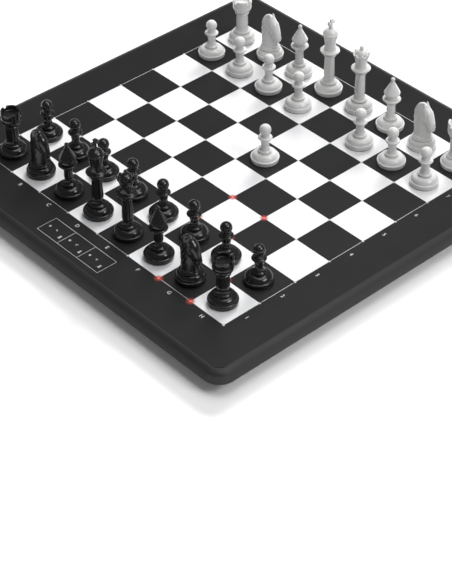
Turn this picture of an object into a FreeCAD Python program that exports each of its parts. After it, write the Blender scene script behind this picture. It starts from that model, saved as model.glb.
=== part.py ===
import FreeCAD, Part

# Electronic chess computer: a flat sensor board with a light at every corner of its 64 squares,
# three touch fields on its front rim, the electronics inside it, and 32 turned chessmen.
# Frame: millimetres, +Z up, origin under the middle of the board on the table.
# +X runs from file A to file H and +Y from rank 1 to rank 8.

import math
import os
import re

import Sketcher

DOC = FreeCAD.newDocument("ChessComputer")

SIZES = {
    # playing field and flat top
    "square": 38,            # side of one playing square
    "side_margin": 36.9,     # from the playing field to the flat top's edge, left and right
    "end_margin": 38.8,      # the same in front and behind
    "flat_corner": 9,        # corner radius of the flat top
    # casing, outside
    "bevel_reach": 4.5,      # width of the sloping edge round the top
    "bevel_drop": 2.5,
    "rim_drop": 8,           # height of the rim's wall
    "rim_draft": 1.7,        # how far that wall leans out towards its foot
    "shell_depth": 9.5,      # height of the tray below the rim
    "shell_undercut": 14,    # how far the tray's floor stands in from the rim
    "foot_height": 1.5,      # how far the rubber feet stand out
    # casing, inside
    "roof": 2.5,
    "skirt_wall": 3.5,
    "tray_floor": 2.2,
    "tray_wall": 2.4,
    "seam_step": 1.2,        # shadow gap between rim and tray
    "lip_wall": 1.5,
    "lip_height": 1.6,
    "lip_gap": 0.3,
    # printed top plate
    "plate_thick": 1,
    "plate_border": 1.5,     # casing left around the plate
    "plate_gap": 0.1,
    # windows
    "window_width": 2.1,
    "window_gap": 0.1,
    "window_flange": 3.6,
    "flange_thick": 0.6,
    # circuit boards
    "board_thick": 1.6,
    "board_drop": 3,         # from the roof's underside to the boards that hang from it
    "board_overhang": 8,     # sensor board beyond the playing field
    "led_width": 1.6,
    "led_height": 0.5,
    "sensor_width": 5,
    "sensor_height": 1,
    # touch fields on the front rim
    "field_pitch": 25.5,
    "field_offset": 21.8,    # from the playing field's front edge to the fields' middle line
    "field_light": 8.3,      # light, left of its field's middle
    "touch_board_width": 92,
    "touch_board_depth": 22,
    "touch_pad_width": 13,
    "touch_pad_depth": 12,
    "touch_pad_shift": 2.5,  # right of its field's middle
    # screws and their posts
    "post_width": 8,
    "post_meet": 8,          # height at which the tray's posts meet the cover's
    "post_inset_x": 22,      # posts, in from the seam
    "post_inset_y": 23,
    "screw_width": 2.4,
    "screw_head": 5.6,
    "screw_head_height": 1.6,
    "screw_gap": 0.15,
    "screw_bite": 7,         # thread length in the cover's posts
    "hanger_width": 6,       # bosses under the roof that carry the boards
    "hanger_inset": 3,       # hangers, in from the sensor board's edge
    "hanger_step": 76,
    # feet
    "pad_width": 16,
    "pad_recess": 1,
    "pad_inset": 45,         # feet, in from the seam
    # main board and what stands beside it
    "main_width": 130,
    "main_depth": 80,
    "main_x": 60,
    "main_y": 40,
    "standoff": 3,
    "standoff_width": 6,
    "chip_width": 14,
    "chip_height": 1.6,
    "chip_x": 40,
    "chip_y": 48,
    "radio_width": 18,
    "radio_depth": 12,
    "radio_height": 2.4,
    "radio_x": 16,
    "radio_y": 14,
    "header_width": 6,
    "header_length": 25,
    "header_height": 2.2,
    "ribbon_thick": 0.6,
    "ribbon_reach": 6,
    "battery_width": 100,
    "battery_depth": 58,
    "battery_height": 7.2,
    "battery_x": -76,
    "battery_y": 40,
    "strap_width": 14,
    "strap_thick": 1.2,
    "strap_foot": 8,
    "strap_gap": 0.3,
    "lead_width": 2.2,
    "lead_bend": 8,
    "sounder_width": 24,
    "sounder_height": 3,
    "sounder_x": -76,
    "sounder_y": -60,
    "grille_hole": 1.8,
    "grille_ring": 12,
    # socket and button in the rear wall
    "port_height": 14.6,     # height of both above the table
    "port_width": 9,
    "port_tall": 3.2,
    "port_gap": 0.3,
    "socket_x": -60,
    "socket_depth": 7.4,
    "socket_inset": 0.9,
    "socket_shell": 0.4,
    "socket_seat": 0.2,      # the back of the socket, let into its shell
    "blade_reach": 3.2,
    "blade_rise": 0.35,
    "button_x": -84,
    "button_proud": 0.5,
    "button_flange": 1.2,
    "button_ledge": 1.2,     # how far the flange stands out left and right
    "flange_gap": 0.1,
    "button_throw": 0.6,     # clear way behind the button
    "switch_gap": 0.05,
    "switch_depth": 5,
    "switch_width": 6,
    "power_board_width": 48,
    "power_board_depth": 20,
    # chessmen: foot, the same profile on all six
    "felt_thick": 0.4,
    "felt_inset": 0.6,
    "disc_top": 2.4,
    "bead_top": 4.4,
    "dome_top": 9.4,
    "ring_top": 11.2,
    "bead_reach": 0.3,
    "foot_edge": 0.3,        # small chamfer over the felt
    "slug_width": 12,
    "slug_height": 4.6,
    "slug_gap": 0.1,
    "stand_x": -1.5,         # how far the men stand from the middle of their squares
    "stand_y": -0.9,
    # pawn
    "pawn_height": 36.2,
    "pawn_foot": 25,
    "pawn_stem": 7.6,
    "pawn_collar": 12.4,
    "pawn_head": 10,
    # rook
    "rook_height": 43.8,
    "rook_foot": 25.2,
    "rook_stem": 11,
    "rook_cup": 17.6,
    "rook_wall": 1.7,
    "rook_well": 4,
    "rook_notch": 3,
    "rook_notch_depth": 2.6,
    # knight
    "knight_height": 45.5,
    "knight_foot": 25.2,
    "knight_collar": 17.6,
    "knight_plinth": 12.5,   # height at which the horse's neck starts
    "knight_thick": 11.5,
    # bishop
    "bishop_height": 50.8,
    "bishop_foot": 25.4,
    "bishop_stem": 7.4,
    "bishop_collar": 16.2,
    "bishop_head": 14.4,
    # queen
    "queen_height": 65,
    "queen_foot": 25.6,
    "queen_stem": 8.6,
    "queen_collar": 17.6,
    "queen_crown": 15.4,
    # king
    "king_height": 74.5,
    "king_foot": 25.6,
    "king_stem": 8.8,
    "king_collar": 17.8,
    "king_crown": 15,
    "cross_height": 9.5,
    "cross_width": 7,
    "cross_bar": 2.4,
    # squares whose four corner lights are on, as file and rank counted from 1
    "from_file": 7,
    "from_rank": 1,
    "to_file": 6,
    "to_rank": 3,
}

# Sizes that follow from the ones above.
DERIVED = {
    "field_half": "4 * square",
    "flat_half_x": "field_half + side_margin",
    "flat_half_y": "field_half + end_margin",
    "tray_top": "foot_height + shell_depth",
    "bevel_foot": "tray_top + rim_drop",
    "top": "bevel_foot + bevel_drop",
    "ceiling": "top - roof",
    "plate_under": "top - plate_thick",
    "rim_reach": "bevel_reach + rim_draft",
    "seam_half_x": "flat_half_x + rim_reach",
    "seam_half_y": "flat_half_y + rim_reach",
    "seam_corner": "flat_corner + rim_reach",
    "floor": "foot_height + tray_floor",
    "board_top": "ceiling - board_drop",
    "board_under": "board_top - board_thick",
    "board_half": "field_half + board_overhang",
    "field_row": "0 - field_half - field_offset",
    "post_x": "seam_half_x - post_inset_x",
    "post_y": "seam_half_y - post_inset_y",
    "pad_x": "seam_half_x - pad_inset",
    "pad_y": "seam_half_y - pad_inset",
    "hanger_x": "board_half - hanger_inset",
    "hanger_y": "1.5 * square",
    "main_under": "floor + standoff",
    "main_top": "main_under + board_thick",
    "battery_top": "floor + battery_height",
    "header_x": "main_x + main_width / 2 - 2 * header_width",
    "header_y": "square",
    "port_under": "port_height - port_tall / 2",
    "wall_face": "seam_half_y - rim_draft * (port_height - tray_top) / rim_drop",
    "wall_back": "seam_half_y - skirt_wall",
    "flange_back": "wall_back - flange_gap - button_flange",
    "switch_face": "flange_back - button_throw - switch_gap",
    "power_board_back": "wall_back - lip_wall - 3 * lip_gap",
    "slug_radius": "slug_width / 2",
    "slug_top": "felt_thick + slug_height",
}


def formula(text):
    """Spells a formula out for the sheet: a derived size becomes its own formula, a size its cell."""
    words = re.split(r"([a-z][a-z_]+)", text)
    for index, word in enumerate(words):
        if word in DERIVED:
            words[index] = "(" + formula(DERIVED[word]) + ")"
        elif word in SIZES:
            words[index] = "Sizes." + word
    return "".join(words)


def fill_sheet():
    """Writes every size into its own named cell."""
    sheet = DOC.addObject("Spreadsheet::Sheet", "Sizes")
    for row, (name, number) in enumerate(SIZES.items(), start=1):
        sheet.set(f"A{row}", name)
        sheet.set(f"B{row}", str(number))
        sheet.setAlias(f"B{row}", name)
    DOC.recompute()
    return sheet


SHEET = fill_sheet()


def value(text):
    """Today's number for a formula, used to draw a sketch near its constrained shape."""
    return float(SHEET.evalExpression(formula(text)))


def bind(thing, **sizes):
    """Binds properties of an object to formulas; x, y and z stand for its place."""
    for name, text in sizes.items():
        target = f"Placement.Base.{name}" if name in ("x", "y", "z") else name
        thing.setExpression(target, formula(text))


# ---- bodies, sketches and features -------------------------------------------------------------

def new_body(label):
    body = DOC.addObject("PartDesign::Body", "Body_" + label)
    body.Label = label
    return body


def datum(body, role):
    return next(item for item in body.Origin.OriginFeatures if item.Role == role)


def new_sketch(body, name, plane="XY_Plane", lift="0"):
    """An empty sketch on one of the body's own planes, lifted along its normal."""
    sketch = body.newObject("Sketcher::SketchObject", name)
    sketch.AttachmentSupport = [(datum(body, plane), "")]
    sketch.MapMode = "FlatFace"
    sketch.setExpression("AttachmentOffset.Base.z", formula(lift))
    return sketch


def drive(sketch, kind, references, text):
    """Adds one dimension to a sketch and binds it to a formula."""
    index = sketch.addConstraint(Sketcher.Constraint(kind, *references, value(text)))
    sketch.setExpression(f"Constraints[{index}]", formula(text))


def pin_point(sketch, edge, end, across, along):
    """Holds a point of a sketch at a place given by two formulas."""
    drive(sketch, "DistanceX", (-1, 1, edge, end), across)
    drive(sketch, "DistanceY", (-1, 1, edge, end), along)


def draw_circle(sketch, across, along, diameter):
    centre = FreeCAD.Vector(value(across), value(along), 0)
    circle = Part.Circle(centre, FreeCAD.Vector(0, 0, 1), value(diameter) / 2)
    edge = sketch.addGeometry(circle)
    pin_point(sketch, edge, 3, across, along)
    drive(sketch, "Diameter", (edge,), diameter)


def draw_rectangle(sketch, left, right, low, high):
    """Four lines, each held at its own formula."""
    sides = [value(text) for text in (left, right, low, high)]
    corners = [(sides[0], sides[2]), (sides[1], sides[2]), (sides[1], sides[3]), (sides[0], sides[3])]
    points = [FreeCAD.Vector(x, y, 0) for x, y in corners]
    edges = [sketch.addGeometry(Part.LineSegment(points[i], points[(i + 1) % 4])) for i in range(4)]
    for i in range(4):
        sketch.addConstraint(Sketcher.Constraint("Coincident", edges[i], 2, edges[(i + 1) % 4], 1))
        sketch.addConstraint(Sketcher.Constraint("Horizontal" if i % 2 == 0 else "Vertical", edges[i]))
    pin_point(sketch, edges[0], 1, left, low)
    pin_point(sketch, edges[2], 1, right, high)


def draw_rounded(sketch, half_x, half_y, radius):
    """A rectangle about the origin whose corners are arcs that run tangent into its sides."""
    wide, deep, corner = value(half_x), value(half_y), value(radius)
    arcs = []
    for turn in range(4):
        angle = math.pi / 2 * turn
        side_x = 1 if turn in (0, 3) else -1
        side_y = 1 if turn in (0, 1) else -1
        centre = FreeCAD.Vector(side_x * (wide - corner), side_y * (deep - corner), 0)
        circle = Part.Circle(centre, FreeCAD.Vector(0, 0, 1), corner)
        arcs.append(sketch.addGeometry(Part.ArcOfCircle(circle, angle, angle + math.pi / 2)))
    lines = []
    for turn in range(4):
        start = sketch.Geometry[arcs[turn]].EndPoint
        end = sketch.Geometry[arcs[(turn + 1) % 4]].StartPoint
        lines.append(sketch.addGeometry(Part.LineSegment(start, end)))
    for turn in range(4):
        following = arcs[(turn + 1) % 4]
        sketch.addConstraint(Sketcher.Constraint("Tangent", arcs[turn], 2, lines[turn], 1))
        sketch.addConstraint(Sketcher.Constraint("Tangent", lines[turn], 2, following, 1))
        sketch.addConstraint(Sketcher.Constraint("Horizontal" if turn % 2 == 0 else "Vertical", lines[turn]))
        if turn:
            sketch.addConstraint(Sketcher.Constraint("Equal", arcs[0], arcs[turn]))
    drive(sketch, "Radius", (arcs[0],), radius)
    drive(sketch, "DistanceY", (-1, 1, lines[0], 1), half_y)
    drive(sketch, "DistanceY", (lines[2], 1, -1, 1), half_y)
    drive(sketch, "DistanceX", (-1, 1, lines[3], 1), half_x)
    drive(sketch, "DistanceX", (lines[1], 1, -1, 1), half_x)


def arc_between(start, end, centre, leftward):
    """An arc from start to end that turns left about its centre, or right if leftward is false."""
    first, last = (start, end) if leftward else (end, start)
    angles = [math.atan2(spot.y - centre.y, spot.x - centre.x) for spot in (first, last)]
    if angles[1] < angles[0]:
        angles[1] += 2 * math.pi
    circle = Part.Circle(centre, FreeCAD.Vector(0, 0, 1), (start - centre).Length)
    return Part.ArcOfCircle(circle, *angles)


def arc_share(bend):
    """Radius over chord of an arc whose height over its chord is bend."""
    return (1 + 4 * bend * bend) / (8 * abs(bend))


def arc_centre(start, end, bend):
    """Middle of an arc between two spots, on the side away from its bulge or on the upright axis."""
    middle = (start + end) / 2
    chord = end - start
    if bend == "ball":
        return FreeCAD.Vector(0, middle.y + middle.x * chord.x / chord.y, 0)
    left = FreeCAD.Vector(-chord.y, chord.x, 0)
    return middle + left * math.copysign(arc_share(bend) - abs(bend), bend)


def draw_outline(sketch, stations):
    """A closed outline through stations (across, along, bend), all given as formulas.

    A bend of 0 is a straight stretch to the next station. Another number is an arc whose height
    over its chord is that share of the chord, to the right of the way it runs if positive. The
    word "ball" is an arc about a centre on the sketch's upright axis.
    """
    spots = [FreeCAD.Vector(value(across), value(along), 0) for across, along, bend in stations]
    count = len(stations)
    edges, ends = [], []
    for index, (across, along, bend) in enumerate(stations):
        start, end = spots[index], spots[(index + 1) % count]
        if bend == 0:
            shape, leftward = Part.LineSegment(start, end), True
        else:
            leftward = bend == "ball" or bend > 0
            shape = arc_between(start, end, arc_centre(start, end, bend), leftward)
        edges.append(sketch.addGeometry(shape))
        ends.append((1, 2) if leftward else (2, 1))
    for index, (across, along, bend) in enumerate(stations):
        following = (index + 1) % count
        edge = edges[index]
        join = (edge, ends[index][1], edges[following], ends[following][0])
        sketch.addConstraint(Sketcher.Constraint("Coincident", *join))
        pin_point(sketch, edge, ends[index][0], across, along)
        if bend == "ball":
            sketch.addConstraint(Sketcher.Constraint("PointOnObject", edge, 3, -2))
        elif bend != 0:
            next_across, next_along, _ = stations[following]
            chord = f"sqrt((({next_across}) - ({across}))^2 + (({next_along}) - ({along}))^2)"
            drive(sketch, "Radius", (edge,), f"{arc_share(bend):.6f} * {chord}")


def pad(body, sketch, length, back=False, midplane=False, name="Pad"):
    feature = body.newObject("PartDesign::Pad", name)
    feature.Profile = sketch
    feature.Reversed = back
    feature.Midplane = midplane
    bind(feature, Length=length)
    return feature


def pocket(body, sketch, length, back=False, midplane=False, name="Pocket"):
    """A pocket that has to take material away; one that points the wrong way stops the build."""
    DOC.recompute()
    before = body.Shape.Volume
    feature = body.newObject("PartDesign::Pocket", name)
    feature.Profile = sketch
    feature.Reversed = back
    feature.Midplane = midplane
    bind(feature, Length=length)
    DOC.recompute()
    if body.Shape.Volume > before - 1e-3:
        raise RuntimeError(f"{body.Label}: {name} cuts nothing")
    return feature


def repeat(body, features, steps=(), mirrors=(), name="Repeat"):
    """Repeats features in even steps (axis, count, pitch) and by mirror planes of the body."""
    DOC.recompute()
    feature = body.newObject("PartDesign::MultiTransform", name)
    feature.Originals = list(features)
    parts = []
    for axis, count, pitch in steps:
        row = body.newObject("PartDesign::LinearPattern", "Row")
        row.Direction = (datum(body, axis), [""])
        row.Mode = "Spacing"
        row.Occurrences = count
        bind(row, Offset=pitch)
        parts.append(row)
    for plane in mirrors:
        mirror = body.newObject("PartDesign::Mirrored", "Mirror")
        mirror.MirrorPlane = (datum(body, plane), [""])
        parts.append(mirror)
    feature.Transformations = parts
    body.Tip = feature
    DOC.recompute()
    return feature


BOTH_WAYS = ("YZ_Plane", "XZ_Plane")


def quadrants(body, features, name="Quadrants"):
    return repeat(body, features, mirrors=BOTH_WAYS, name=name)


def field_grid(body, feature, count, name="Grid"):
    """Repeats a feature from the first square to the last, both ways."""
    steps = (("X_Axis", count, "square"), ("Y_Axis", count, "square"))
    return repeat(body, [feature], steps=steps, name=name)


def loft(body, kind, sections, name):
    """A straight-sided loft between rounded rectangles (height, inset from the seam, corner)."""
    sketches = []
    for number, (height, inset, corner) in enumerate(sections):
        sketch = new_sketch(body, f"{name}Section{number}", lift=height)
        draw_rounded(sketch, f"seam_half_x - ({inset})", f"seam_half_y - ({inset})", corner)
        sketches.append(sketch)
    feature = body.newObject(kind, name)
    feature.Profile = sketches[0]
    feature.Sections = sketches[1:]
    feature.Ruled = True
    return feature


def rounded_block(body, lift, height, half_x, half_y, radius, name="Block"):
    sketch = new_sketch(body, name + "Outline", lift=lift)
    draw_rounded(sketch, half_x, half_y, radius)
    return pad(body, sketch, height, name=name)


def block(label, x, y, z, width, depth, height):
    """A plain box whose place is the middle of its underside."""
    box = DOC.addObject("Part::Box", "Box_" + label)
    box.Label = label
    bind(box, Length=width, Width=depth, Height=height)
    bind(box, x=f"{x} - ({width}) / 2", y=f"{y} - ({depth}) / 2", z=z)
    return box


def disc(label, x, y, z, diameter, height):
    cylinder = DOC.addObject("Part::Cylinder", "Disc_" + label)
    cylinder.Label = label
    bind(cylinder, Radius=f"({diameter}) / 2", Height=height, x=x, y=y, z=z)
    return cylinder


def compound(label, members):
    group = DOC.addObject("Part::Compound", "Set_" + label)
    group.Label = label
    group.Links = members
    return group


# ---- casing ------------------------------------------------------------------------------------

def make_top_cover():
    """Upper half: flat top with a sloping edge, leaning rim, posts and the holes for the lights."""
    body = new_body("top_cover")
    outline = [
        ("tray_top", "0", "seam_corner"),
        ("bevel_foot", "rim_draft", "seam_corner - rim_draft"),
        ("top", "rim_reach", "flat_corner"),
    ]
    loft(body, "PartDesign::AdditiveLoft", outline, "Outside")

    hollow = new_sketch(body, "Hollow", lift="tray_top")
    draw_rounded(hollow, "seam_half_x - skirt_wall", "seam_half_y - skirt_wall", "seam_corner - skirt_wall")
    pocket(body, hollow, "ceiling - tray_top", back=True, name="Inside")

    seat = new_sketch(body, "PlateSeat", lift="top")
    inset = "- plate_border"
    draw_rounded(seat, f"flat_half_x {inset}", f"flat_half_y {inset}", f"flat_corner {inset}")
    pocket(body, seat, "plate_thick", name="Seat")

    bosses = new_sketch(body, "PostOutline", lift="ceiling")
    draw_circle(bosses, "post_x", "0", "post_width")
    draw_circle(bosses, "post_x", "post_y", "post_width")
    posts = pad(body, bosses, "ceiling - post_meet", back=True, name="Posts")
    quadrants(body, [posts], "AllPosts")

    pilots = new_sketch(body, "PilotOutline", lift="post_meet")
    draw_circle(pilots, "post_x", "0", "screw_width + 2 * screw_gap")
    draw_circle(pilots, "post_x", "post_y", "screw_width + 2 * screw_gap")
    holes = pocket(body, pilots, "screw_bite + 1", back=True, name="Pilots")
    quadrants(body, [holes], "AllPilots")

    side = new_sketch(body, "HangerOutline", lift="ceiling")
    draw_circle(side, "hanger_x", "hanger_y", "hanger_width")
    hanger = pad(body, side, "board_drop", back=True, name="Hanger")
    repeat(body, [hanger], steps=[("Y_Axis", 2, "hanger_step")], mirrors=BOTH_WAYS, name="Hangers")
    front = new_sketch(body, "TouchHangerOutline", lift="ceiling")
    draw_circle(front, "touch_board_width / 2 - hanger_inset - 1", "field_row", "hanger_width")
    touch_hanger = pad(body, front, "board_drop", back=True, name="TouchHanger")
    repeat(body, [touch_hanger], mirrors=("YZ_Plane",), name="TouchHangers")

    side = new_sketch(body, "HangerPilot", lift="board_top")
    draw_circle(side, "hanger_x", "hanger_y", "screw_width + 2 * screw_gap")
    pilot = pocket(body, side, "board_drop + 0.5", back=True, name="HangerHole")
    repeat(body, [pilot], steps=[("Y_Axis", 2, "hanger_step")], mirrors=BOTH_WAYS, name="HangerHoles")
    front = new_sketch(body, "TouchHangerPilot", lift="board_top")
    draw_circle(front, "touch_board_width / 2 - hanger_inset - 1", "field_row", "screw_width + 2 * screw_gap")
    pilot = pocket(body, front, "board_drop + 0.5", back=True, name="TouchHangerHole")
    repeat(body, [pilot], mirrors=("YZ_Plane",), name="TouchHangerHoles")

    cut_windows(body)
    cut_ports(body)
    return body


def cut_windows(body):
    """Round holes at the corners of the squares and beside the touch fields."""
    corner = new_sketch(body, "CornerHole", lift="top")
    draw_circle(corner, "0 - field_half", "0 - field_half", "window_width + 2 * window_gap")
    hole = pocket(body, corner, "roof + 1", name="CornerWindow")
    field_grid(body, hole, 9, "CornerWindows")
    field = new_sketch(body, "FieldHole", lift="top")
    draw_circle(field, "0 - field_pitch - field_light", "field_row", "window_width + 2 * window_gap")
    hole = pocket(body, field, "roof + 1", name="FieldWindow")
    repeat(body, [hole], steps=[("X_Axis", 3, "field_pitch")], name="FieldWindows")


def cut_ports(body):
    """Slots through the rear wall for the charging socket and the power button."""
    slots = new_sketch(body, "PortOutline", plane="XZ_Plane")
    for middle in ("socket_x", "button_x"):
        reach = "(port_width / 2 + port_gap)"
        rise = "(port_tall / 2 + port_gap)"
        draw_rectangle(slots, f"{middle} - {reach}", f"{middle} + {reach}",
                       f"port_height - {rise}", f"port_height + {rise}")
    slots.setExpression("AttachmentOffset.Base.z", formula("0 - seam_half_y - 1"))
    pocket(body, slots, "skirt_wall + 2", back=True, name="Ports")


def make_plate():
    """Printed plate let into the top, with the holes for the lights."""
    body = new_body("faceplate")
    inset = "- plate_border - plate_gap"
    sides = [f"flat_half_x {inset}", f"flat_half_y {inset}", f"flat_corner {inset}"]
    rounded_block(body, "plate_under", "plate_thick", *sides)
    cut_windows(body)
    return body


def make_bottom_tray():
    """Lower half: undercut tray with a lip inside the rim, screw posts, standoffs and a grille."""
    body = new_body("bottom_cover")
    outside = [
        ("foot_height", "shell_undercut", "flat_corner"),
        ("tray_top", "seam_step", "seam_corner - seam_step"),
    ]
    loft(body, "PartDesign::AdditiveLoft", outside, "Outside")
    rim = "skirt_wall + lip_gap + lip_wall"
    inside = [
        ("floor", "shell_undercut + tray_wall", "flat_corner - tray_wall"),
        ("tray_top", rim, f"seam_corner - ({rim})"),
    ]
    loft(body, "PartDesign::SubtractiveLoft", inside, "Inside")

    ring = new_sketch(body, "LipOutline", lift="tray_top")
    for inset in ("skirt_wall + lip_gap", rim):
        draw_rounded(ring, f"seam_half_x - ({inset})", f"seam_half_y - ({inset})", f"seam_corner - ({inset})")
    pad(body, ring, "lip_height", name="Lip")

    posts = new_sketch(body, "PostOutline", lift="floor")
    draw_circle(posts, "post_x", "0", "post_width")
    draw_circle(posts, "post_x", "post_y", "post_width")
    post = pad(body, posts, "post_meet - floor", name="Posts")
    quadrants(body, [post], "AllPosts")

    for name, diameter, depth in (
        ("Shank", "screw_width + 4 * screw_gap", "post_meet"),
        ("Head", "screw_head + 4 * screw_gap", "post_meet - 3"),
    ):
        bores = new_sketch(body, name + "Outline")
        draw_circle(bores, "post_x", "0", diameter)
        draw_circle(bores, "post_x", "post_y", diameter)
        bore = pocket(body, bores, depth, back=True, name=name + "Bore")
        quadrants(body, [bore], name + "Bores")

    seat = new_sketch(body, "FootSeat")
    draw_circle(seat, "pad_x", "pad_y", "pad_width + 4 * plate_gap")
    recess = pocket(body, seat, "foot_height + pad_recess", back=True, name="FootRecess")
    quadrants(body, [recess], "FootRecesses")

    legs = new_sketch(body, "StandoffOutline", lift="floor")
    for side_x in ("-", "+"):
        for side_y in ("-", "+"):
            across = f"main_x {side_x} (main_width / 2 - standoff_width)"
            along = f"main_y {side_y} (main_depth / 2 - standoff_width)"
            draw_circle(legs, across, along, "standoff_width")
    pad(body, legs, "standoff", name="Standoffs")

    shelf = new_sketch(body, "PowerStandoffOutline", lift="floor")
    for side in ("-", "+"):
        across = f"(socket_x + button_x) / 2 {side} (power_board_width / 2 - standoff_width)"
        draw_circle(shelf, across, "power_board_back - power_board_depth + standoff_width", "standoff_width")
    pad(body, shelf, "port_under - board_thick - floor", name="PowerStandoffs")

    grille = new_sketch(body, "GrilleOutline")
    draw_circle(grille, "sounder_x", "sounder_y", "grille_hole")
    for turn in range(6):
        across = f"sounder_x + grille_ring / 2 * {math.cos(math.pi / 3 * turn):.4f}"
        along = f"sounder_y + grille_ring / 2 * {math.sin(math.pi / 3 * turn):.4f}"
        draw_circle(grille, across, along, "grille_hole")
    pocket(body, grille, "floor + 1", back=True, name="Grille")
    return body


def make_housing_screws():
    """Six screws that come up through the tray's posts into the cover's."""
    body = new_body("housing_screws")
    head_top = "post_meet - 3"
    heads = new_sketch(body, "HeadOutline", lift=f"{head_top} - screw_head_height")
    draw_circle(heads, "post_x", "0", "screw_head")
    draw_circle(heads, "post_x", "post_y", "screw_head")
    head = pad(body, heads, "screw_head_height", name="Head")
    shanks = new_sketch(body, "ShankOutline", lift=head_top)
    draw_circle(shanks, "post_x", "0", "screw_width")
    draw_circle(shanks, "post_x", "post_y", "screw_width")
    shank = pad(body, shanks, f"post_meet - ({head_top}) + screw_bite", name="Shank")
    quadrants(body, [head, shank], "AllScrews")
    return body


def make_board_screws():
    """Screws that hold the sensor board and the touch board under the roof."""
    sides = new_body("sensor_board_screws")
    front = new_body("touch_board_screws")
    places = (
        (sides, "hanger_x", "hanger_y"),
        (front, "touch_board_width / 2 - hanger_inset - 1", "field_row"),
    )
    screws = []
    for body, across, along in places:
        outline = new_sketch(body, "HeadOutline", lift="board_under - screw_head_height")
        draw_circle(outline, across, along, "screw_head - 1")
        head = pad(body, outline, "screw_head_height", name="Head")
        outline = new_sketch(body, "ShankOutline", lift="board_under")
        draw_circle(outline, across, along, "screw_width")
        shank = pad(body, outline, "board_thick + board_drop", name="Shank")
        screws.append([head, shank])
    repeat(sides, screws[0], steps=[("Y_Axis", 2, "hanger_step")], mirrors=BOTH_WAYS, name="AllScrews")
    repeat(front, screws[1], mirrors=("YZ_Plane",), name="AllScrews")
    return compound("board_screws", [sides, front])


def make_feet():
    body = new_body("rubber_feet")
    outline = new_sketch(body, "FootOutline")
    draw_circle(outline, "pad_x", "pad_y", "pad_width")
    foot = pad(body, outline, "foot_height + pad_recess", name="Foot")
    quadrants(body, [foot], "Feet")
    return body


# ---- lights, sensors and boards ----------------------------------------------------------------

def window_pins(label, across, along):
    """One light pipe: a pin through roof and plate with a flange under the roof."""
    body = new_body(label)
    outline = new_sketch(body, "PinOutline", lift="board_top + led_height + 0.2")
    draw_circle(outline, across, along, "window_width")
    pin = pad(body, outline, "top - board_top - led_height - 0.2", name="Pin")
    outline = new_sketch(body, "FlangeOutline", lift="ceiling - flange_thick")
    draw_circle(outline, across, along, "window_flange")
    flange = pad(body, outline, "flange_thick", name="Flange")
    return body, [pin, flange]


def make_corner_windows():
    """All 81 light pipes, parted into those that are lit and those that are not."""
    body, pin = window_pins("window_grid", "0 - field_half", "0 - field_half")
    steps = (("X_Axis", 9, "square"), ("Y_Axis", 9, "square"))
    repeat(body, pin, steps=steps, name="Grid")
    squares = []
    for name in ("from", "to"):
        middle_x = f"({name}_file - 4.5) * square"
        middle_y = f"({name}_rank - 4.5) * square"
        side = "square + 2 * window_flange"
        squares.append(block(f"{name}_square", middle_x, middle_y, "floor", side, side, "top"))
    both = DOC.addObject("Part::MultiFuse", "LitSquares")
    both.Shapes = squares
    lit = DOC.addObject("Part::Common", "LitWindows")
    lit.Label = "corner_windows_lit"
    unlit = DOC.addObject("Part::Cut", "DarkWindows")
    unlit.Label = "corner_windows"
    lit.Base, lit.Tool = body, both
    unlit.Base, unlit.Tool = body, both
    return [unlit, lit]


def make_field_windows():
    body, pin = window_pins("field_windows", "0 - field_pitch - field_light", "field_row")
    repeat(body, pin, steps=[("X_Axis", 3, "field_pitch")], name="Row")
    return body


def led_outline(body, across, along, width, lift):
    outline = new_sketch(body, "LedOutline", lift=lift)
    half = f"({width}) / 2"
    sides = [f"{across} - {half}", f"{across} + {half}", f"{along} - {half}", f"{along} + {half}"]
    draw_rectangle(outline, *sides)
    return outline


def make_leds():
    corners = new_body("corner_leds")
    outline = led_outline(corners, "0 - field_half", "0 - field_half", "led_width", "board_top")
    field_grid(corners, pad(corners, outline, "led_height"), 9)
    fields = new_body("field_leds")
    outline = led_outline(fields, "0 - field_pitch - field_light", "field_row", "led_width", "board_top")
    led = pad(fields, outline, "led_height")
    repeat(fields, [led], steps=[("X_Axis", 3, "field_pitch")], name="Row")
    return [corners, fields]


def make_sensors():
    """One magnetic sensor under the middle of every square."""
    body = new_body("square_sensors")
    first = "0 - field_half + square / 2"
    outline = led_outline(body, first, first, "sensor_width", "board_under - sensor_height")
    field_grid(body, pad(body, outline, "sensor_height"), 8)
    return body


def make_sensor_board():
    body = new_body("sensor_board")
    rounded_block(body, "board_under", "board_thick", "board_half", "board_half", "hanger_inset")
    outline = new_sketch(body, "HoleOutline", lift="board_under")
    draw_circle(outline, "hanger_x", "hanger_y", "screw_width + 4 * screw_gap")
    hole = pocket(body, outline, "board_thick", back=True, name="Hole")
    repeat(body, [hole], steps=[("Y_Axis", 2, "hanger_step")], mirrors=BOTH_WAYS, name="Holes")
    return body


def make_touch_board():
    """Small board under the three touch fields."""
    body = new_body("touch_board")
    outline = new_sketch(body, "Outline", lift="board_under")
    draw_rectangle(outline, "0 - touch_board_width / 2", "touch_board_width / 2",
                   "field_row - touch_board_depth / 2", "field_row + touch_board_depth / 2")
    pad(body, outline, "board_thick", name="Board")
    outline = new_sketch(body, "HoleOutline", lift="board_under")
    across = "touch_board_width / 2 - hanger_inset - 1"
    draw_circle(outline, across, "field_row", "screw_width + 4 * screw_gap")
    hole = pocket(body, outline, "board_thick", back=True, name="Hole")
    repeat(body, [hole], mirrors=("YZ_Plane",), name="Holes")
    return body


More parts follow.
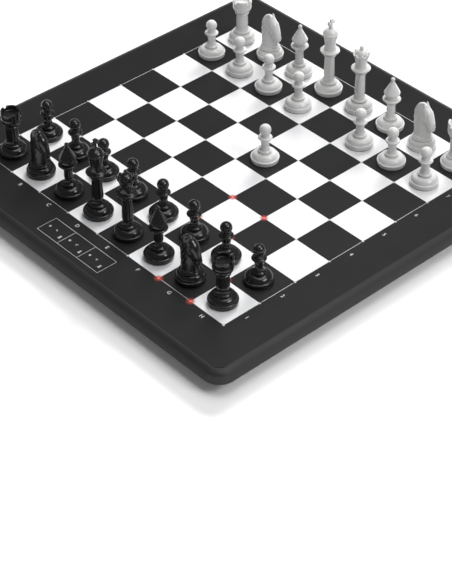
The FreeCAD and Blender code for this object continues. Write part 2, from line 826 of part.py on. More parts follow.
def make_touch_pads():
    """Sensing blocks that reach from the touch board to the roof, one under each field."""
    body = new_body("touch_pads")
    outline = new_sketch(body, "Outline", lift="board_top")
    middle = "0 - field_pitch + touch_pad_shift"
    draw_rectangle(outline, f"{middle} - touch_pad_width / 2", f"{middle} + touch_pad_width / 2",
                   "field_row - touch_pad_depth / 2", "field_row + touch_pad_depth / 2")
    block_pad = pad(body, outline, "board_drop", name="Block")
    repeat(body, [block_pad], steps=[("X_Axis", 3, "field_pitch")], name="Row")
    return body


def make_main_electronics():
    """Main board on its standoffs with processor and radio, and the ribbon up to the sensors."""
    board = block("main_board", "main_x", "main_y", "main_under", "main_width", "main_depth", "board_thick")
    chip = block("processor_chip", "chip_x", "chip_y", "main_top", "chip_width", "chip_width",
                 "chip_height")
    radio = block("radio_module", "radio_x", "radio_y", "main_top", "radio_width", "radio_depth",
                  "radio_height")
    headers = [
        block("lower_header", "header_x", "header_y", "main_top", "header_width", "header_length",
              "header_height"),
        block("upper_header", "header_x", "header_y", "board_under - header_height", "header_width",
              "header_length", "header_height"),
    ]
    return [board, chip, radio, compound("ribbon_cable", headers + [make_ribbon()])]


def make_ribbon():
    """Flat cable: out of one header, round a half circle and back into the other."""
    body = new_body("ribbon")
    outline = new_sketch(body, "Outline", plane="XZ_Plane")
    start = "header_x + header_width / 2"
    bend = f"{start} + ribbon_reach"
    low = "(main_top + header_height / 2)"
    high = "(board_under - header_height / 2)"
    half = "ribbon_thick / 2"
    draw_outline(outline, [
        (start, f"{low} - {half}", 0),
        (bend, f"{low} - {half}", 0.47),
        (bend, f"{high} + {half}", 0),
        (start, f"{high} + {half}", 0),
        (start, f"{high} - {half}", 0),
        (bend, f"{high} - {half}", -0.47),
        (bend, f"{low} + {half}", 0),
        (start, f"{low} + {half}", 0),
    ])
    outline.setExpression("AttachmentOffset.Base.z", formula("0 - header_y"))
    pad(body, outline, "header_length - 2", midplane=True, name="Ribbon")
    return body


def make_battery():
    """Flat rechargeable pack, the strap over it and its lead to the main board."""
    pack = block("battery_pack", "battery_x", "battery_y", "floor", "battery_width", "battery_depth",
                 "battery_height")
    strap = new_body("battery_bracket")
    outline = new_sketch(strap, "Outline", plane="YZ_Plane", lift="battery_x")
    inner = "battery_depth / 2 + strap_gap"
    outer = f"{inner} + strap_thick"
    foot = f"{outer} + strap_foot"
    under = "battery_top + strap_gap"
    over = f"{under} + strap_thick"
    low = "floor + strap_thick"
    middle = "battery_y"
    left = [(f"{middle} - ({foot})", "floor"), (f"{middle} - ({inner})", "floor"),
            (f"{middle} - ({inner})", under)]
    right = [(f"{middle} + {inner}", under), (f"{middle} + {inner}", "floor"),
             (f"{middle} + {foot}", "floor"), (f"{middle} + {foot}", low),
             (f"{middle} + {outer}", low), (f"{middle} + {outer}", over)]
    back = [(f"{middle} - ({outer})", over), (f"{middle} - ({outer})", low), (f"{middle} - ({foot})", low)]
    draw_outline(outline, [(across, along, 0) for across, along in left + right + back])
    pad(strap, outline, "strap_width", midplane=True, name="Strap")
    return [pack, strap, make_lead()]


def make_lead():
    """Lead from the pack's front edge, along the floor and round one bend to the main board."""
    body = new_body("battery_lead")
    height = "main_under - lead_width / 2 - 0.3"
    start_x = "battery_x + 30"
    start_y = "battery_y - battery_depth / 2"
    turn_y = f"{start_y} - 6 - lead_bend"
    end_x = "main_x - main_width / 2 + 8"
    path = new_sketch(body, "Path", lift=height)
    first = [FreeCAD.Vector(value(start_x), value(start_y), 0),
             FreeCAD.Vector(value(start_x), value(f"{turn_y} + lead_bend"), 0)]
    last = [FreeCAD.Vector(value(f"{start_x} + lead_bend"), value(turn_y), 0),
            FreeCAD.Vector(value(end_x), value(turn_y), 0)]
    centre = FreeCAD.Vector(last[0].x, first[1].y, 0)
    circle = Part.Circle(centre, FreeCAD.Vector(0, 0, 1), value("lead_bend"))
    run = path.addGeometry(Part.LineSegment(*first))
    bend = path.addGeometry(Part.ArcOfCircle(circle, math.pi, 1.5 * math.pi))
    away = path.addGeometry(Part.LineSegment(*last))
    path.addConstraint(Sketcher.Constraint("Tangent", run, 2, bend, 1))
    path.addConstraint(Sketcher.Constraint("Tangent", bend, 2, away, 1))
    path.addConstraint(Sketcher.Constraint("Vertical", run))
    path.addConstraint(Sketcher.Constraint("Horizontal", away))
    pin_point(path, run, 1, start_x, start_y)
    pin_point(path, away, 2, end_x, turn_y)
    drive(path, "Radius", (bend,), "lead_bend")
    ring = new_sketch(body, "Section", plane="XZ_Plane", lift=f"0 - ({start_y})")
    draw_circle(ring, start_x, height, "lead_width")
    pipe = body.newObject("PartDesign::AdditivePipe", "Lead")
    pipe.Profile = ring
    pipe.Spine = path
    return body


def make_rear_ports():
    """Power board with its charging socket and switch, and the button that presses the switch."""
    middle = "(socket_x + button_x) / 2"
    board_z = "port_under - board_thick"
    board_y = "power_board_back - power_board_depth / 2"
    board = block("power_board", middle, board_y, board_z, "power_board_width", "power_board_depth",
                  "board_thick")
    socket = new_body("usb_socket")
    outline = new_sketch(socket, "Shell", plane="XZ_Plane", lift="0 - wall_face + socket_inset")
    for inset in ("0", "socket_shell"):
        reach = f"port_width / 2 - {inset}"
        rise = f"port_tall / 2 - {inset}"
        draw_rectangle(outline, f"socket_x - ({reach})", f"socket_x + {reach}",
                       f"port_height - ({rise})", f"port_height + {rise}")
    pad(socket, outline, "socket_depth", name="Shell")
    back = new_sketch(socket, "Back", plane="XZ_Plane", lift="0 - wall_face + socket_inset + socket_depth")
    draw_rectangle(back, "socket_x - port_width / 2 + socket_seat", "socket_x + port_width / 2 - socket_seat",
                   "port_height - port_tall / 2 + socket_seat", "port_height + port_tall / 2 - socket_seat")
    pad(socket, back, "1", back=True, name="Back")
    blade = new_sketch(socket, "Blade", plane="XZ_Plane", lift="0 - wall_face + socket_inset + 1")
    draw_rectangle(blade, "socket_x - blade_reach", "socket_x + blade_reach",
                   "port_height - blade_rise", "port_height + blade_rise")
    pad(socket, blade, "socket_depth - 1", name="Blade")

    button = new_body("power_button")
    cap = new_sketch(button, "Cap", plane="XZ_Plane", lift="0 - wall_face - button_proud")
    draw_rectangle(cap, "button_x - port_width / 2", "button_x + port_width / 2",
                   "port_height - port_tall / 2", "port_height + port_tall / 2")
    pad(button, cap, "wall_face + button_proud - flange_back", name="Cap")
    flange = new_sketch(button, "Flange", plane="XZ_Plane", lift="0 - flange_back - button_flange")
    reach = "(port_width / 2 + button_ledge)"
    draw_rectangle(flange, f"button_x - {reach}", f"button_x + {reach}",
                   "port_height - port_tall / 2", "port_height + port_tall / 2")
    pad(button, flange, "button_flange", name="Flange")
    switch = block("power_switch", "button_x", "switch_face - switch_depth / 2", "port_under",
                   "switch_width", "switch_depth", "port_tall")
    return [board, socket, button, switch]


# ---- chessmen ----------------------------------------------------------------------------------

def foot_profile(width, waist):
    """From the axis in the slug's hole, out under the foot and up to the ring at the stem's start."""
    rim = f"{width} / 2 - bead_reach"
    bore = "slug_radius + slug_gap"
    ring = f"({waist}) / 2 + 0.7"
    return [
        ("0", "slug_top + slug_gap", 0),
        (bore, "slug_top + slug_gap", 0),
        (bore, "felt_thick", 0),
        (f"{rim} - foot_edge", "felt_thick", 0),
        (rim, "felt_thick + foot_edge", 0),
        (rim, "disc_top", 0.15),
        (rim, "bead_top", 0),
        (f"{rim} - 2 * foot_edge", "bead_top + 0.1", 0.18),
        (ring, "dome_top", 0.3),
        (ring, "ring_top", 0),
    ]


def collar_profile(radius, height, thick):
    """A rounded flange round the stem."""
    return [(radius, height, 0.34), (radius, f"{height} + {thick}", 0)]


def turn(label, profile):
    """Spins an outline about the upright axis."""
    body = new_body(label)
    outline = new_sketch(body, "Profile", plane="XZ_Plane")
    draw_outline(outline, profile)
    spun = body.newObject("PartDesign::Revolution", "Turned")
    spun.Profile = outline
    spun.ReferenceAxis = (outline, ["V_Axis"])
    spun.Angle = 360
    return body


def make_pawn():
    head = "pawn_head / 2"
    middle = f"(pawn_height - {head})"
    neck = f"({middle} - 0.74 * {head})"
    profile = foot_profile("pawn_foot", "1.3 * pawn_stem") + [
        ("0.65 * pawn_stem", "ring_top + 0.2", -0.14),
        ("pawn_stem / 2", "0.5 * pawn_height", 0),
        ("0.47 * pawn_stem", f"{neck} - 5.8", 0),
        *collar_profile("pawn_collar / 2 - 0.8", f"{neck} - 5.4", "2.4"),
        ("0.52 * pawn_stem", f"{neck} - 2.7", 0),
        (f"0.67 * {head}", neck, "ball"),
        ("0", "pawn_height", 0),
    ]
    return turn("pawn_turned", profile)


def make_rook():
    cup = "rook_cup / 2"
    waist = "0.68 * rook_height"
    profile = foot_profile("rook_foot", "1.2 * rook_stem") + [
        ("0.6 * rook_stem", "ring_top + 0.2", -0.1),
        ("rook_stem / 2", "0.4 * rook_height", 0),
        ("0.48 * rook_stem", f"{waist} - 1.6", 0),
        *collar_profile("0.54 * rook_stem", f"{waist} - 1.2", "1.4"),
        ("0.54 * rook_stem", f"{waist} + 0.5", 0.17),
        (f"{cup} - 0.3", "rook_height - 6", 0),
        (cup, "rook_height - 0.5", 0),
        (f"{cup} - 0.5", "rook_height", 0),
        (f"{cup} - rook_wall", "rook_height", 0),
        (f"{cup} - rook_wall - 0.3", "rook_height - rook_well", 0),
        ("0", "rook_height - rook_well", 0),
    ]
    body = turn("rook_turned", profile)
    for plane in ("XZ_Plane", "YZ_Plane"):
        notch = new_sketch(body, "Notch", plane=plane)
        draw_rectangle(notch, "0 - rook_notch / 2", "rook_notch / 2", "rook_height - rook_notch_depth",
                       "rook_height + 1")
        pocket(body, notch, "rook_cup + 2", midplane=True, name="Notch")
    return body


def make_bishop():
    collar = "0.565 * bishop_height"
    head = "0.7 * bishop_height"
    profile = foot_profile("bishop_foot", "1.36 * bishop_stem") + [
        ("0.68 * bishop_stem", "ring_top + 0.2", -0.16),
        ("0.53 * bishop_stem", "0.34 * bishop_height", 0),
        ("0.49 * bishop_stem", "0.49 * bishop_height", 0),
        *collar_profile("0.62 * bishop_stem", "0.495 * bishop_height", "1.2"),
        ("0.55 * bishop_stem", "0.53 * bishop_height", -0.12),
        ("bishop_collar / 2 - 0.6", f"{collar} - 0.4", 0.34),
        ("bishop_collar / 2 - 0.6", f"{collar} + 1.5", 0),
        ("0.34 * bishop_head", f"{collar} + 2.1", 0),
        ("0.32 * bishop_head", f"{head} - 2.2", 0),
        ("0.42 * bishop_head", f"{head} - 1.8", 0.16),
        ("bishop_head / 2", f"{head} + 0.6", 0),
        ("0.1 * bishop_head", "bishop_height - 3.6", 0),
        ("0.08 * bishop_head", "bishop_height - 3.3", "ball"),
        ("0", "bishop_height", 0),
    ]
    return turn("bishop_turned", profile)


def crowned_profile(man, flare):
    """Stem, broad collar and crown that the queen and the king share, up to the crown's rim."""
    collar = "0.65 * queen_height"
    return foot_profile(f"{man}_foot", f"1.4 * {man}_stem") + [
        (f"0.7 * {man}_stem", "ring_top + 0.2", -0.16),
        (f"0.56 * {man}_stem", "0.27 * queen_height", 0),
        (f"0.49 * {man}_stem", f"{collar} - 5", 0),
        *collar_profile(f"0.62 * {man}_stem", f"{collar} - 4.8", "1.2"),
        (f"0.56 * {man}_stem", f"{collar} - 3.2", -0.12),
        (f"{man}_collar / 2 - 0.6", f"{collar} - 0.8", 0.34),
        (f"{man}_collar / 2 - 0.6", f"{collar} + 1", 0),
        (f"0.34 * {man}_crown", f"{collar} + 1.9", -flare),
    ]


def make_queen():
    rim = "queen_height - 6.6"
    profile = crowned_profile("queen", 0.09) + [
        ("queen_crown / 2", rim, 0),
        ("queen_crown / 2 - 1.4", f"{rim} + 0.2", 0),
        ("queen_crown / 2 - 2", f"{rim} - 1", 0.16),
        ("1.2", "queen_height - 3.5", 0),
        ("1.1", "queen_height - 3.3", "ball"),
        ("0", "queen_height", 0),
    ]
    return turn("queen_turned", profile)


def make_king():
    rim = "king_height - cross_height - 5.4"
    foot = "king_height - cross_height"
    profile = crowned_profile("king", 0.05) + [
        ("king_crown / 2 - 0.3", rim, 0.3),
        ("king_crown / 2 - 0.6", f"{rim} + 1.2", 0.14),
        ("1.8", f"{foot} + 0.2", 0),
        ("1.3", f"{foot} + 0.8", 0),
        ("0", f"{foot} + 0.8", 0),
    ]
    body = turn("king_turned", profile)
    cross = new_sketch(body, "Cross", plane="YZ_Plane")
    half = "cross_bar / 2"
    arm_low = f"{foot} + 0.52 * cross_height - {half}"
    arm_high = f"{foot} + 0.52 * cross_height + {half}"
    reach = "cross_width / 2"
    right = [(half, foot), (half, arm_low), (reach, arm_low), (reach, arm_high), (half, arm_high),
             (half, "king_height")]
    left = [(f"0 - {across}", along) for across, along in reversed(right)]
    draw_outline(cross, [(across, along, 0) for across, along in right + left])
    pad(body, cross, "cross_bar", midplane=True, name="Cross")
    return body


def make_knight():
    """Turned plinth with a horse's head cut from a slab; the head looks towards +X."""
    plinth = "knight_plinth"
    collar = "knight_collar / 2"
    profile = foot_profile("knight_foot", "knight_collar - 1.4") + [
        (f"{collar} - 0.4", "ring_top + 0.2", 0.2),
        (f"{collar} - 0.6", plinth, 0),
        ("0", plinth, 0),
    ]
    body = turn("knight_turned", profile)
    rise = f"(knight_height - {plinth})"
    head = new_sketch(body, "Head", plane="XZ_Plane")
    stations = [                # shares of the collar's radius and of the head's height, and the bulge
        (-0.84, -0.02, 0), (0.84, -0.02, 0.1), (0.66, 0.2, -0.1), (0.58, 0.34, 0), (0.96, 0.28, 0.25),
        (1.34, 0.4, 0.12), (1.16, 0.54, -0.04), (0.56, 0.88, 0), (0.2, 1, 0), (-0.1, 0.93, 0.16),
        (-0.88, 0.62, 0.12), (-1.1, 0.26, 0.06),
    ]
    draw_outline(head, [(f"{across} * {collar}", f"{plinth} + {share} * {rise}", bulge)
                        for across, share, bulge in stations])
    pad(body, head, "knight_thick", midplane=True, name="Head")
    return body


MAKERS = {
    "pawn": make_pawn,
    "rook": make_rook,
    "knight": make_knight,
    "bishop": make_bishop,
    "queen": make_queen,
    "king": make_king,
}


def make_masters():
    """One set of solids for each kind of man: turned body, iron slug and felt."""
    masters = {}
    for kind, maker in MAKERS.items():
        slug = disc(f"{kind}_slug", "0", "0", "felt_thick", "slug_width", "slug_height")
        felt = disc(f"{kind}_felt", "0", "0", "0", f"{kind}_foot - 2 * felt_inset", "felt_thick")
        masters[kind] = [maker(), slug, felt]
    return masters


BACK_ROW = ("rook", "knight", "bishop", "king", "queen", "bishop", "knight", "rook")
FILES = "abcdefgh"
ADVANCED = ("white", "e", 5)      # the pawn that has moved, and the rank that it stands on


def make_men():
    """Sets up both sides; each man is a compound of its kind's solids in its own place."""
    masters = make_masters()
    men = []
    for colour, back_rank, pawn_rank in (("black", 1, 2), ("white", 8, 7)):
        for file, (letter, kind) in enumerate(zip(FILES, BACK_ROW), start=1):
            single = kind in ("king", "queen")
            label = f"{colour}_{kind}" if single else f"{colour}_{kind}_{letter}"
            men.append((label, kind, file, back_rank))
            moved = (colour, letter) == ADVANCED[:2]
            men.append((f"{colour}_pawn_{letter}", "pawn", file, ADVANCED[2] if moved else pawn_rank))
    made = []
    for label, kind, file, rank in men:
        man = compound(label, masters[kind])
        bind(man, x=f"({file} - 4.5) * square + stand_x", y=f"({rank} - 4.5) * square + stand_y", z="top")
        made.append(man)
    return made


# ---- the whole object --------------------------------------------------------------------------

def make_all():
    nodes = [make_top_cover(), make_plate(), make_bottom_tray(), make_housing_screws()]
    nodes += [make_board_screws(), make_feet()]
    nodes += make_corner_windows()
    nodes += [make_field_windows(), make_sensor_board(), make_touch_board(), make_touch_pads()]
    nodes += make_leds()
    nodes += [make_sensors()]
    nodes += make_main_electronics()
    nodes += make_battery()
    nodes += [disc("sounder", "sounder_x", "sounder_y", "floor", "sounder_width", "sounder_height")]
    nodes += make_rear_ports()
    nodes += make_men()
    return nodes


def check(nodes):
    """Stops the build if any object failed or any piece has no sound shape."""
    failed = [item.Label for item in DOC.Objects if {"Invalid", "Error"} & set(item.State)]
    for node in nodes:
        if node.Shape.isNull() or not node.Shape.isValid() or not node.Shape.Solids:
            failed.append(node.Label)
    if failed:
        raise RuntimeError("not sound: " + ", ".join(failed))


NODES = make_all()
DOC.recompute()
check(NODES)
os.makedirs("parts", exist_ok=True)
for node in NODES:
    node.Shape.exportStep(f"parts/{node.Label}.step")
    bounds = node.Shape.BoundBox
    print(f"{node.Label:20s} {len(node.Shape.Solids):3d} solids {node.Shape.Volume / 1000:9.2f} cm3 "
          f"z {bounds.ZMin:6.2f} to {bounds.ZMax:6.2f}")
print(len(NODES), "nodes")
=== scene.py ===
# %% [markdown]
# # An electronic chess computer
# A flat black board with a light at every corner of its 64 squares, three touch fields on its
# front rim, and 32 turned men that stand loose on it. The mechanical model already gives every
# part its size and place, so this lesson works on surfaces: moulded edges, print, glossy men
# and the glow of the lit corners. All lengths are metres, and X runs from file A to file H.

# %% Load the mechanical model
import math

import bmesh
import bpy
import numpy as np
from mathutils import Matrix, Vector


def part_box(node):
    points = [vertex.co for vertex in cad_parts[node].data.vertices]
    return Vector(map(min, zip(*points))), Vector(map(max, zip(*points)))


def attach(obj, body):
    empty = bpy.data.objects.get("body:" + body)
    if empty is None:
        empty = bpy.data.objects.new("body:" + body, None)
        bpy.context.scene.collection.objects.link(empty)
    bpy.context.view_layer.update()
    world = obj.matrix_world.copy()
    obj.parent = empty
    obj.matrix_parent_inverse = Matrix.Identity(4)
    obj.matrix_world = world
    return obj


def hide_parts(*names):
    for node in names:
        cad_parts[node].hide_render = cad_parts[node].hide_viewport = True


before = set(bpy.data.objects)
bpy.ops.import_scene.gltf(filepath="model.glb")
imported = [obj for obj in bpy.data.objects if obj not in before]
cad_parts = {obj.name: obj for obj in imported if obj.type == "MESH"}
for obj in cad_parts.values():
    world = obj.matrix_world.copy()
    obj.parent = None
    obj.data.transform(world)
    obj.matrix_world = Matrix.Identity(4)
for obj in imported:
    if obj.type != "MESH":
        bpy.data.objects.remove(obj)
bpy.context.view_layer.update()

# %% [markdown]
# ## Sizes shared by many pieces
# The square's side comes from the playing field's corner lights, and the playing surface's
# height from the printed plate. Everything printed on the board is placed in squares, counted
# from the outer corner of A1, as a printer lays out the artwork.

# %% Board measures
MM = 0.001
LAMP_WIDTH = 1.6 * MM      # body of one corner lamp; the lamps' middles are the squares' corners
field_low, field_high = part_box("corner_leds")
SQUARE = (field_high.x - field_low.x - LAMP_WIDTH) / 8
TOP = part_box("faceplate")[1].z
print("square", round(SQUARE / MM, 2), "mm, playing surface at", round(TOP / MM, 2), "mm")


def on_board(files, ranks):
    """Board squares to metres: half the field is taken off each count, times the square's side."""
    return (files - 4) * SQUARE, (ranks - 4) * SQUARE


# %% [markdown]
# ## Finishes
# Every finish uses one group of noises in object space, so a pattern stays on its piece when the
# piece moves. A fine noise becomes the grain of the mould, a broad one shifts colour and gloss a
# little from place to place, and a stretched one gives the faint hairlines of handling.

# %% Shader group: moulded skin
def new_group(name, inputs, outputs):
    """A node group with float inputs {label: start value} and float outputs [label]."""
    group = bpy.data.node_groups.new(name, "ShaderNodeTree")
    for label, start in inputs.items():
        socket = group.interface.new_socket(label, in_out="INPUT", socket_type="NodeSocketFloat")
        socket.default_value = start
    for label in outputs:
        group.interface.new_socket(label, in_out="OUTPUT", socket_type="NodeSocketFloat")
    return group, group.nodes.new("NodeGroupInput"), group.nodes.new("NodeGroupOutput")


def add_node(tree, kind, links=None, **settings):
    """A node with attributes set from settings and inputs joined or filled from links."""
    node = tree.nodes.new(kind)
    for name, setting in settings.items():
        setattr(node, name, setting)
    for key, source in (links or {}).items():
        if isinstance(source, bpy.types.NodeSocket):
            tree.links.new(source, node.inputs[key])
        else:
            node.inputs[key].default_value = source
    return node


def build_skin_group():
    """Grain, Cloud and Hairline: fine, broad and stretched noise, each from 0 to 1."""
    inputs = {"Grain Scale": 2500.0, "Cloud Scale": 22.0, "Hairline Scale": 60.0}
    group, given, result = new_group("moulded_skin", inputs, ["Grain", "Cloud", "Hairline"])
    place = add_node(group, "ShaderNodeTexCoord").outputs["Object"]
    grain = add_node(group, "ShaderNodeTexNoise",
                     {"Vector": place, "Scale": given.outputs["Grain Scale"], "Detail": 2.0})
    cloud = add_node(group, "ShaderNodeTexNoise",
                     {"Vector": place, "Scale": given.outputs["Cloud Scale"], "Detail": 4.0})
    stretch = add_node(group, "ShaderNodeMapping",
                       {"Vector": place, "Rotation": (0.0, 0.0, 0.6), "Scale": (1.0, 14.0, 14.0)})
    lines = add_node(group, "ShaderNodeTexNoise",
                     {"Vector": stretch.outputs[0], "Scale": given.outputs["Hairline Scale"],
                      "Detail": 3.0, "Roughness": 0.7})
    thin = add_node(group, "ShaderNodeMapRange",
                    {"Value": lines.outputs[0], "From Min": 0.62, "From Max": 0.75},
                    interpolation_type="SMOOTHSTEP")
    group.links.new(grain.outputs[0], result.inputs["Grain"])
    group.links.new(cloud.outputs[0], result.inputs["Cloud"])
    group.links.new(thin.outputs[0], result.inputs["Hairline"])
    return group


SKIN = build_skin_group()
print("group", SKIN.name, "gives", [item.name for item in SKIN.interface.items_tree
                                    if item.in_out == "OUTPUT"])

# %% [markdown]
# A finish is one Principled shader. Its colour runs between a darker and a lighter tone with the
# broad noise, its roughness shifts with the broad noise and the hairlines, and the grain feeds a
# bump. Whatever is the same all over, such as coat or metal, is set on the shader itself.

# %% Helper: a finish
def tone(colour, share):
    """The colour times a share, with full alpha."""
    return tuple(min(1.0, part * share) for part in colour) + (1.0,)


def mixed_colour(tree, factor, first, second):
    """A colour between first and second, by a factor socket."""
    mix = add_node(tree, "ShaderNodeMix", data_type="RGBA")
    tree.links.new(factor, mix.inputs[0])
    for socket, source in ((mix.inputs[6], first), (mix.inputs[7], second)):
        if isinstance(source, bpy.types.NodeSocket):
            tree.links.new(source, socket)
        else:
            socket.default_value = source
    return mix.outputs[2]


def overprint(material, factor, colour):
    """Mixes one more colour over a finish's own, by a factor socket."""
    tree = material.node_tree
    shader = tree.nodes["Principled BSDF"]
    plain = shader.inputs["Base Color"].links[0].from_socket
    tree.links.new(mixed_colour(tree, factor, plain, colour), shader.inputs["Base Color"])


def finish(name, colour, rough, spread=0.08, shift=0.12, grain=2500.0, bump=0.02, cloud=22.0,
           hairlines=0.0, **plain):
    """A material from the skin group. plain sets sockets of the shader, such as Metallic."""
    material = bpy.data.materials.new(name)
    material.use_nodes = True
    material.diffuse_color = tone(colour, 1.0)
    tree = material.node_tree
    shader = tree.nodes["Principled BSDF"]
    skin = add_node(tree, "ShaderNodeGroup", node_tree=SKIN)
    skin.inputs["Grain Scale"].default_value = grain
    skin.inputs["Cloud Scale"].default_value = cloud
    body = mixed_colour(tree, skin.outputs["Cloud"], tone(colour, 1 - shift),
                        tone(colour, 1 + shift))
    tree.links.new(body, shader.inputs["Base Color"])
    gloss = add_node(tree, "ShaderNodeMapRange",
                     {"Value": skin.outputs["Cloud"], "From Min": 0.25, "From Max": 0.75,
                      "To Min": max(0.02, rough - spread), "To Max": min(1.0, rough + spread)})
    scuffed = add_node(tree, "ShaderNodeMath",
                       {0: skin.outputs["Hairline"], 1: hairlines, 2: gloss.outputs[0]},
                       operation="MULTIPLY_ADD", use_clamp=True)
    tree.links.new(scuffed.outputs[0], shader.inputs["Roughness"])
    relief = add_node(tree, "ShaderNodeBump",
                      {"Height": skin.outputs["Grain"], "Strength": 0.5, "Distance": bump * MM})
    tree.links.new(relief.outputs[0], shader.inputs["Normal"])
    for socket, amount in plain.items():
        shader.inputs[socket.replace("_", " ")].default_value = amount
    return material


# %% [markdown]
# The plastics, metals and boards. The casing is a nearly black plastic from a finely etched
# mould, so it stays matt and a little grey where light grazes it. The men are moulded smooth
# and polished, so they get the lowest roughness.

# %% Plain finishes
casing = finish("casing_black", (0.027, 0.027, 0.028), 0.6, grain=3200, bump=0.012, hairlines=0.05,
                Specular_IOR_Level=0.4)
print_black = finish("plate_black", (0.0108, 0.0108, 0.0113), 0.48, grain=3600, bump=0.008,
                     hairlines=0.05)
print_light = finish("square_white", (0.76, 0.76, 0.765), 0.42, grain=3600, bump=0.008, shift=0.02,
                     hairlines=0.04)
print_ink = finish("ink_grey", (0.56, 0.56, 0.57), 0.5, grain=3600, bump=0.004, shift=0.05)
men_black = finish("men_black", (0.011, 0.011, 0.0115), 0.2, spread=0.04, grain=1200, bump=0.004,
                   hairlines=0.05, Specular_IOR_Level=0.55)
men_white = finish("men_white", (0.7, 0.695, 0.685), 0.24, spread=0.05, grain=1200, bump=0.004,
                   shift=0.03, hairlines=0.05, Coat_Weight=0.3, Coat_Roughness=0.1)
felt = finish("felt_dark", (0.03, 0.034, 0.032), 0.95, grain=5200, bump=0.12, shift=0.4,
              Sheen_Weight=0.4)
lens = finish("light_pipe_off", (0.5, 0.51, 0.52), 0.3, grain=4200, bump=0.01, shift=0.06,
              Coat_Weight=0.4)
rubber = finish("foot_rubber", (0.018, 0.018, 0.018), 0.85, grain=1800, bump=0.03)
steel = finish("screw_steel", (0.55, 0.55, 0.57), 0.34, grain=2600, bump=0.01, Metallic=1.0,
               hairlines=0.15)
tin = finish("shield_tin", (0.66, 0.67, 0.68), 0.3, grain=900, bump=0.01, Metallic=1.0,
             hairlines=0.2)
aluminium = finish("strap_aluminium", (0.68, 0.69, 0.7), 0.38, grain=1500, bump=0.01, Metallic=1.0,
                   hairlines=0.25)
brass = finish("sounder_brass", (0.72, 0.55, 0.26), 0.32, grain=1200, bump=0.01, Metallic=1.0,
               hairlines=0.2)
foam = finish("touch_foam", (0.045, 0.045, 0.045), 0.9, grain=1400, bump=0.15, shift=0.3)
chip = finish("chip_black", (0.02, 0.02, 0.021), 0.6, grain=2600, bump=0.02)
led_cup = finish("lamp_body", (0.82, 0.79, 0.68), 0.35, grain=2400, bump=0.01, Coat_Weight=0.5)
lead_red = finish("lead_red", (0.42, 0.02, 0.018), 0.5, grain=1600, bump=0.02)
button = finish("button_black", (0.028, 0.028, 0.03), 0.36, grain=3000, bump=0.01)

# %% [markdown]
# The painted glow needs its own group. The red light that a lit corner's light pipe spreads through the
# thin plate round it is painted onto the print there, as emission and as a red tint in the print's colour.
# The four lights of a lit square lie on the corners of a square, so folding the plane about the square's
# middle makes one distance serve all four of them.

# %% Shader group: glow of the lit corners
LIT_SQUARES = ((6.5, 0.5), (5.5, 2.5))    # middles of G1 and F3, in squares from A1's corner
GLOW_REACH = 5.0 * MM
GLOW_CORE = 0.6 * MM       # inside this distance the glow is full


def build_glow_group():
    """Glow: 1 at a lit light, falling smoothly to 0 at Reach, over both lit squares."""
    group, given, result = new_group("corner_glow", {"Reach": GLOW_REACH}, ["Glow"])
    place = add_node(group, "ShaderNodeTexCoord").outputs["Object"]
    glows = []
    for file, rank in LIT_SQUARES:
        middle = on_board(file, rank) + (TOP,)
        moved = add_node(group, "ShaderNodeVectorMath", {0: place, 1: middle}, operation="SUBTRACT")
        folded = add_node(group, "ShaderNodeVectorMath", {0: moved.outputs[0]},
                          operation="ABSOLUTE")
        corner = (SQUARE / 2, SQUARE / 2, 0.0)
        away = add_node(group, "ShaderNodeVectorMath", {0: folded.outputs[0], 1: corner},
                        operation="DISTANCE")
        fall = add_node(group, "ShaderNodeMapRange",
                        {"Value": away.outputs["Value"], "From Min": given.outputs["Reach"],
                         "From Max": GLOW_CORE}, interpolation_type="SMOOTHSTEP")
        glows.append(fall.outputs[0])
    both = add_node(group, "ShaderNodeMath", {0: glows[0], 1: glows[1]}, operation="MAXIMUM")
    group.links.new(both.outputs[0], result.inputs["Glow"])
    return group


GLOW = build_glow_group()


def add_glow(material, colour, strength):
    """Paints the lit corners' red light onto a printed finish: painted glow as emission, painted red tint
    in its colour near them.
    """
    tree = material.node_tree
    shader = tree.nodes["Principled BSDF"]
    glow = add_node(tree, "ShaderNodeGroup", node_tree=GLOW)
    glow.inputs["Reach"].default_value = GLOW_REACH
    light = mixed_colour(tree, glow.outputs["Glow"], (0.0, 0.0, 0.0, 1.0), tone(colour, 1.0))
    tree.links.new(light, shader.inputs["Emission Color"])
    shader.inputs["Emission Strength"].default_value = strength
    # painted red light: near the lit corners the print's own colour gives way to a dark red
    overprint(material, glow.outputs["Glow"], (0.36, 0.05, 0.04, 1.0))


# every print ink gets the painted red glow and tint round the lit corners
for printed in (print_black, print_light, print_ink):
    add_glow(printed, (0.75, 0.07, 0.045), 0.11)
lens_lit = finish("light_pipe_red", (0.62, 0.17, 0.14), 0.35, grain=4200, bump=0.01,
                  Coat_Weight=0.4, Emission_Color=(0.95, 0.16, 0.11, 1.0), Emission_Strength=0.3)
print("glow reaches", round(GLOW_REACH / MM, 1), "mm round", 4 * len(LIT_SQUARES), "lights")

# %% [markdown]
# The circuit boards are never seen with the casing closed, but they are in the model, so they get
# solder mask with copper runs under it: a brick pattern turned by 45 degrees, mixed in faintly,
# reads as tracks with vias.

# %% Finishes with a pattern of their own
def build_board_finish():
    """Green solder mask whose copper runs show a little lighter."""
    material = finish("solder_mask", (0.012, 0.085, 0.032), 0.35, grain=2600, bump=0.01,
                      Coat_Weight=0.3)
    tree = material.node_tree
    place = add_node(tree, "ShaderNodeTexCoord").outputs["Object"]
    turned = add_node(tree, "ShaderNodeMapping", {"Vector": place, "Rotation": (0.0, 0.0, 0.785)})
    runs = add_node(tree, "ShaderNodeTexBrick",
                    {"Vector": turned.outputs[0], "Scale": 90.0, "Mortar Size": 0.05,
                     "Color1": (0.0, 0.0, 0.0, 1.0), "Color2": (0.1, 0.1, 0.1, 1.0),
                     "Mortar": (1.0, 1.0, 1.0, 1.0)})
    overprint(material, runs.outputs["Color"], (0.03, 0.15, 0.05, 1.0))
    return material


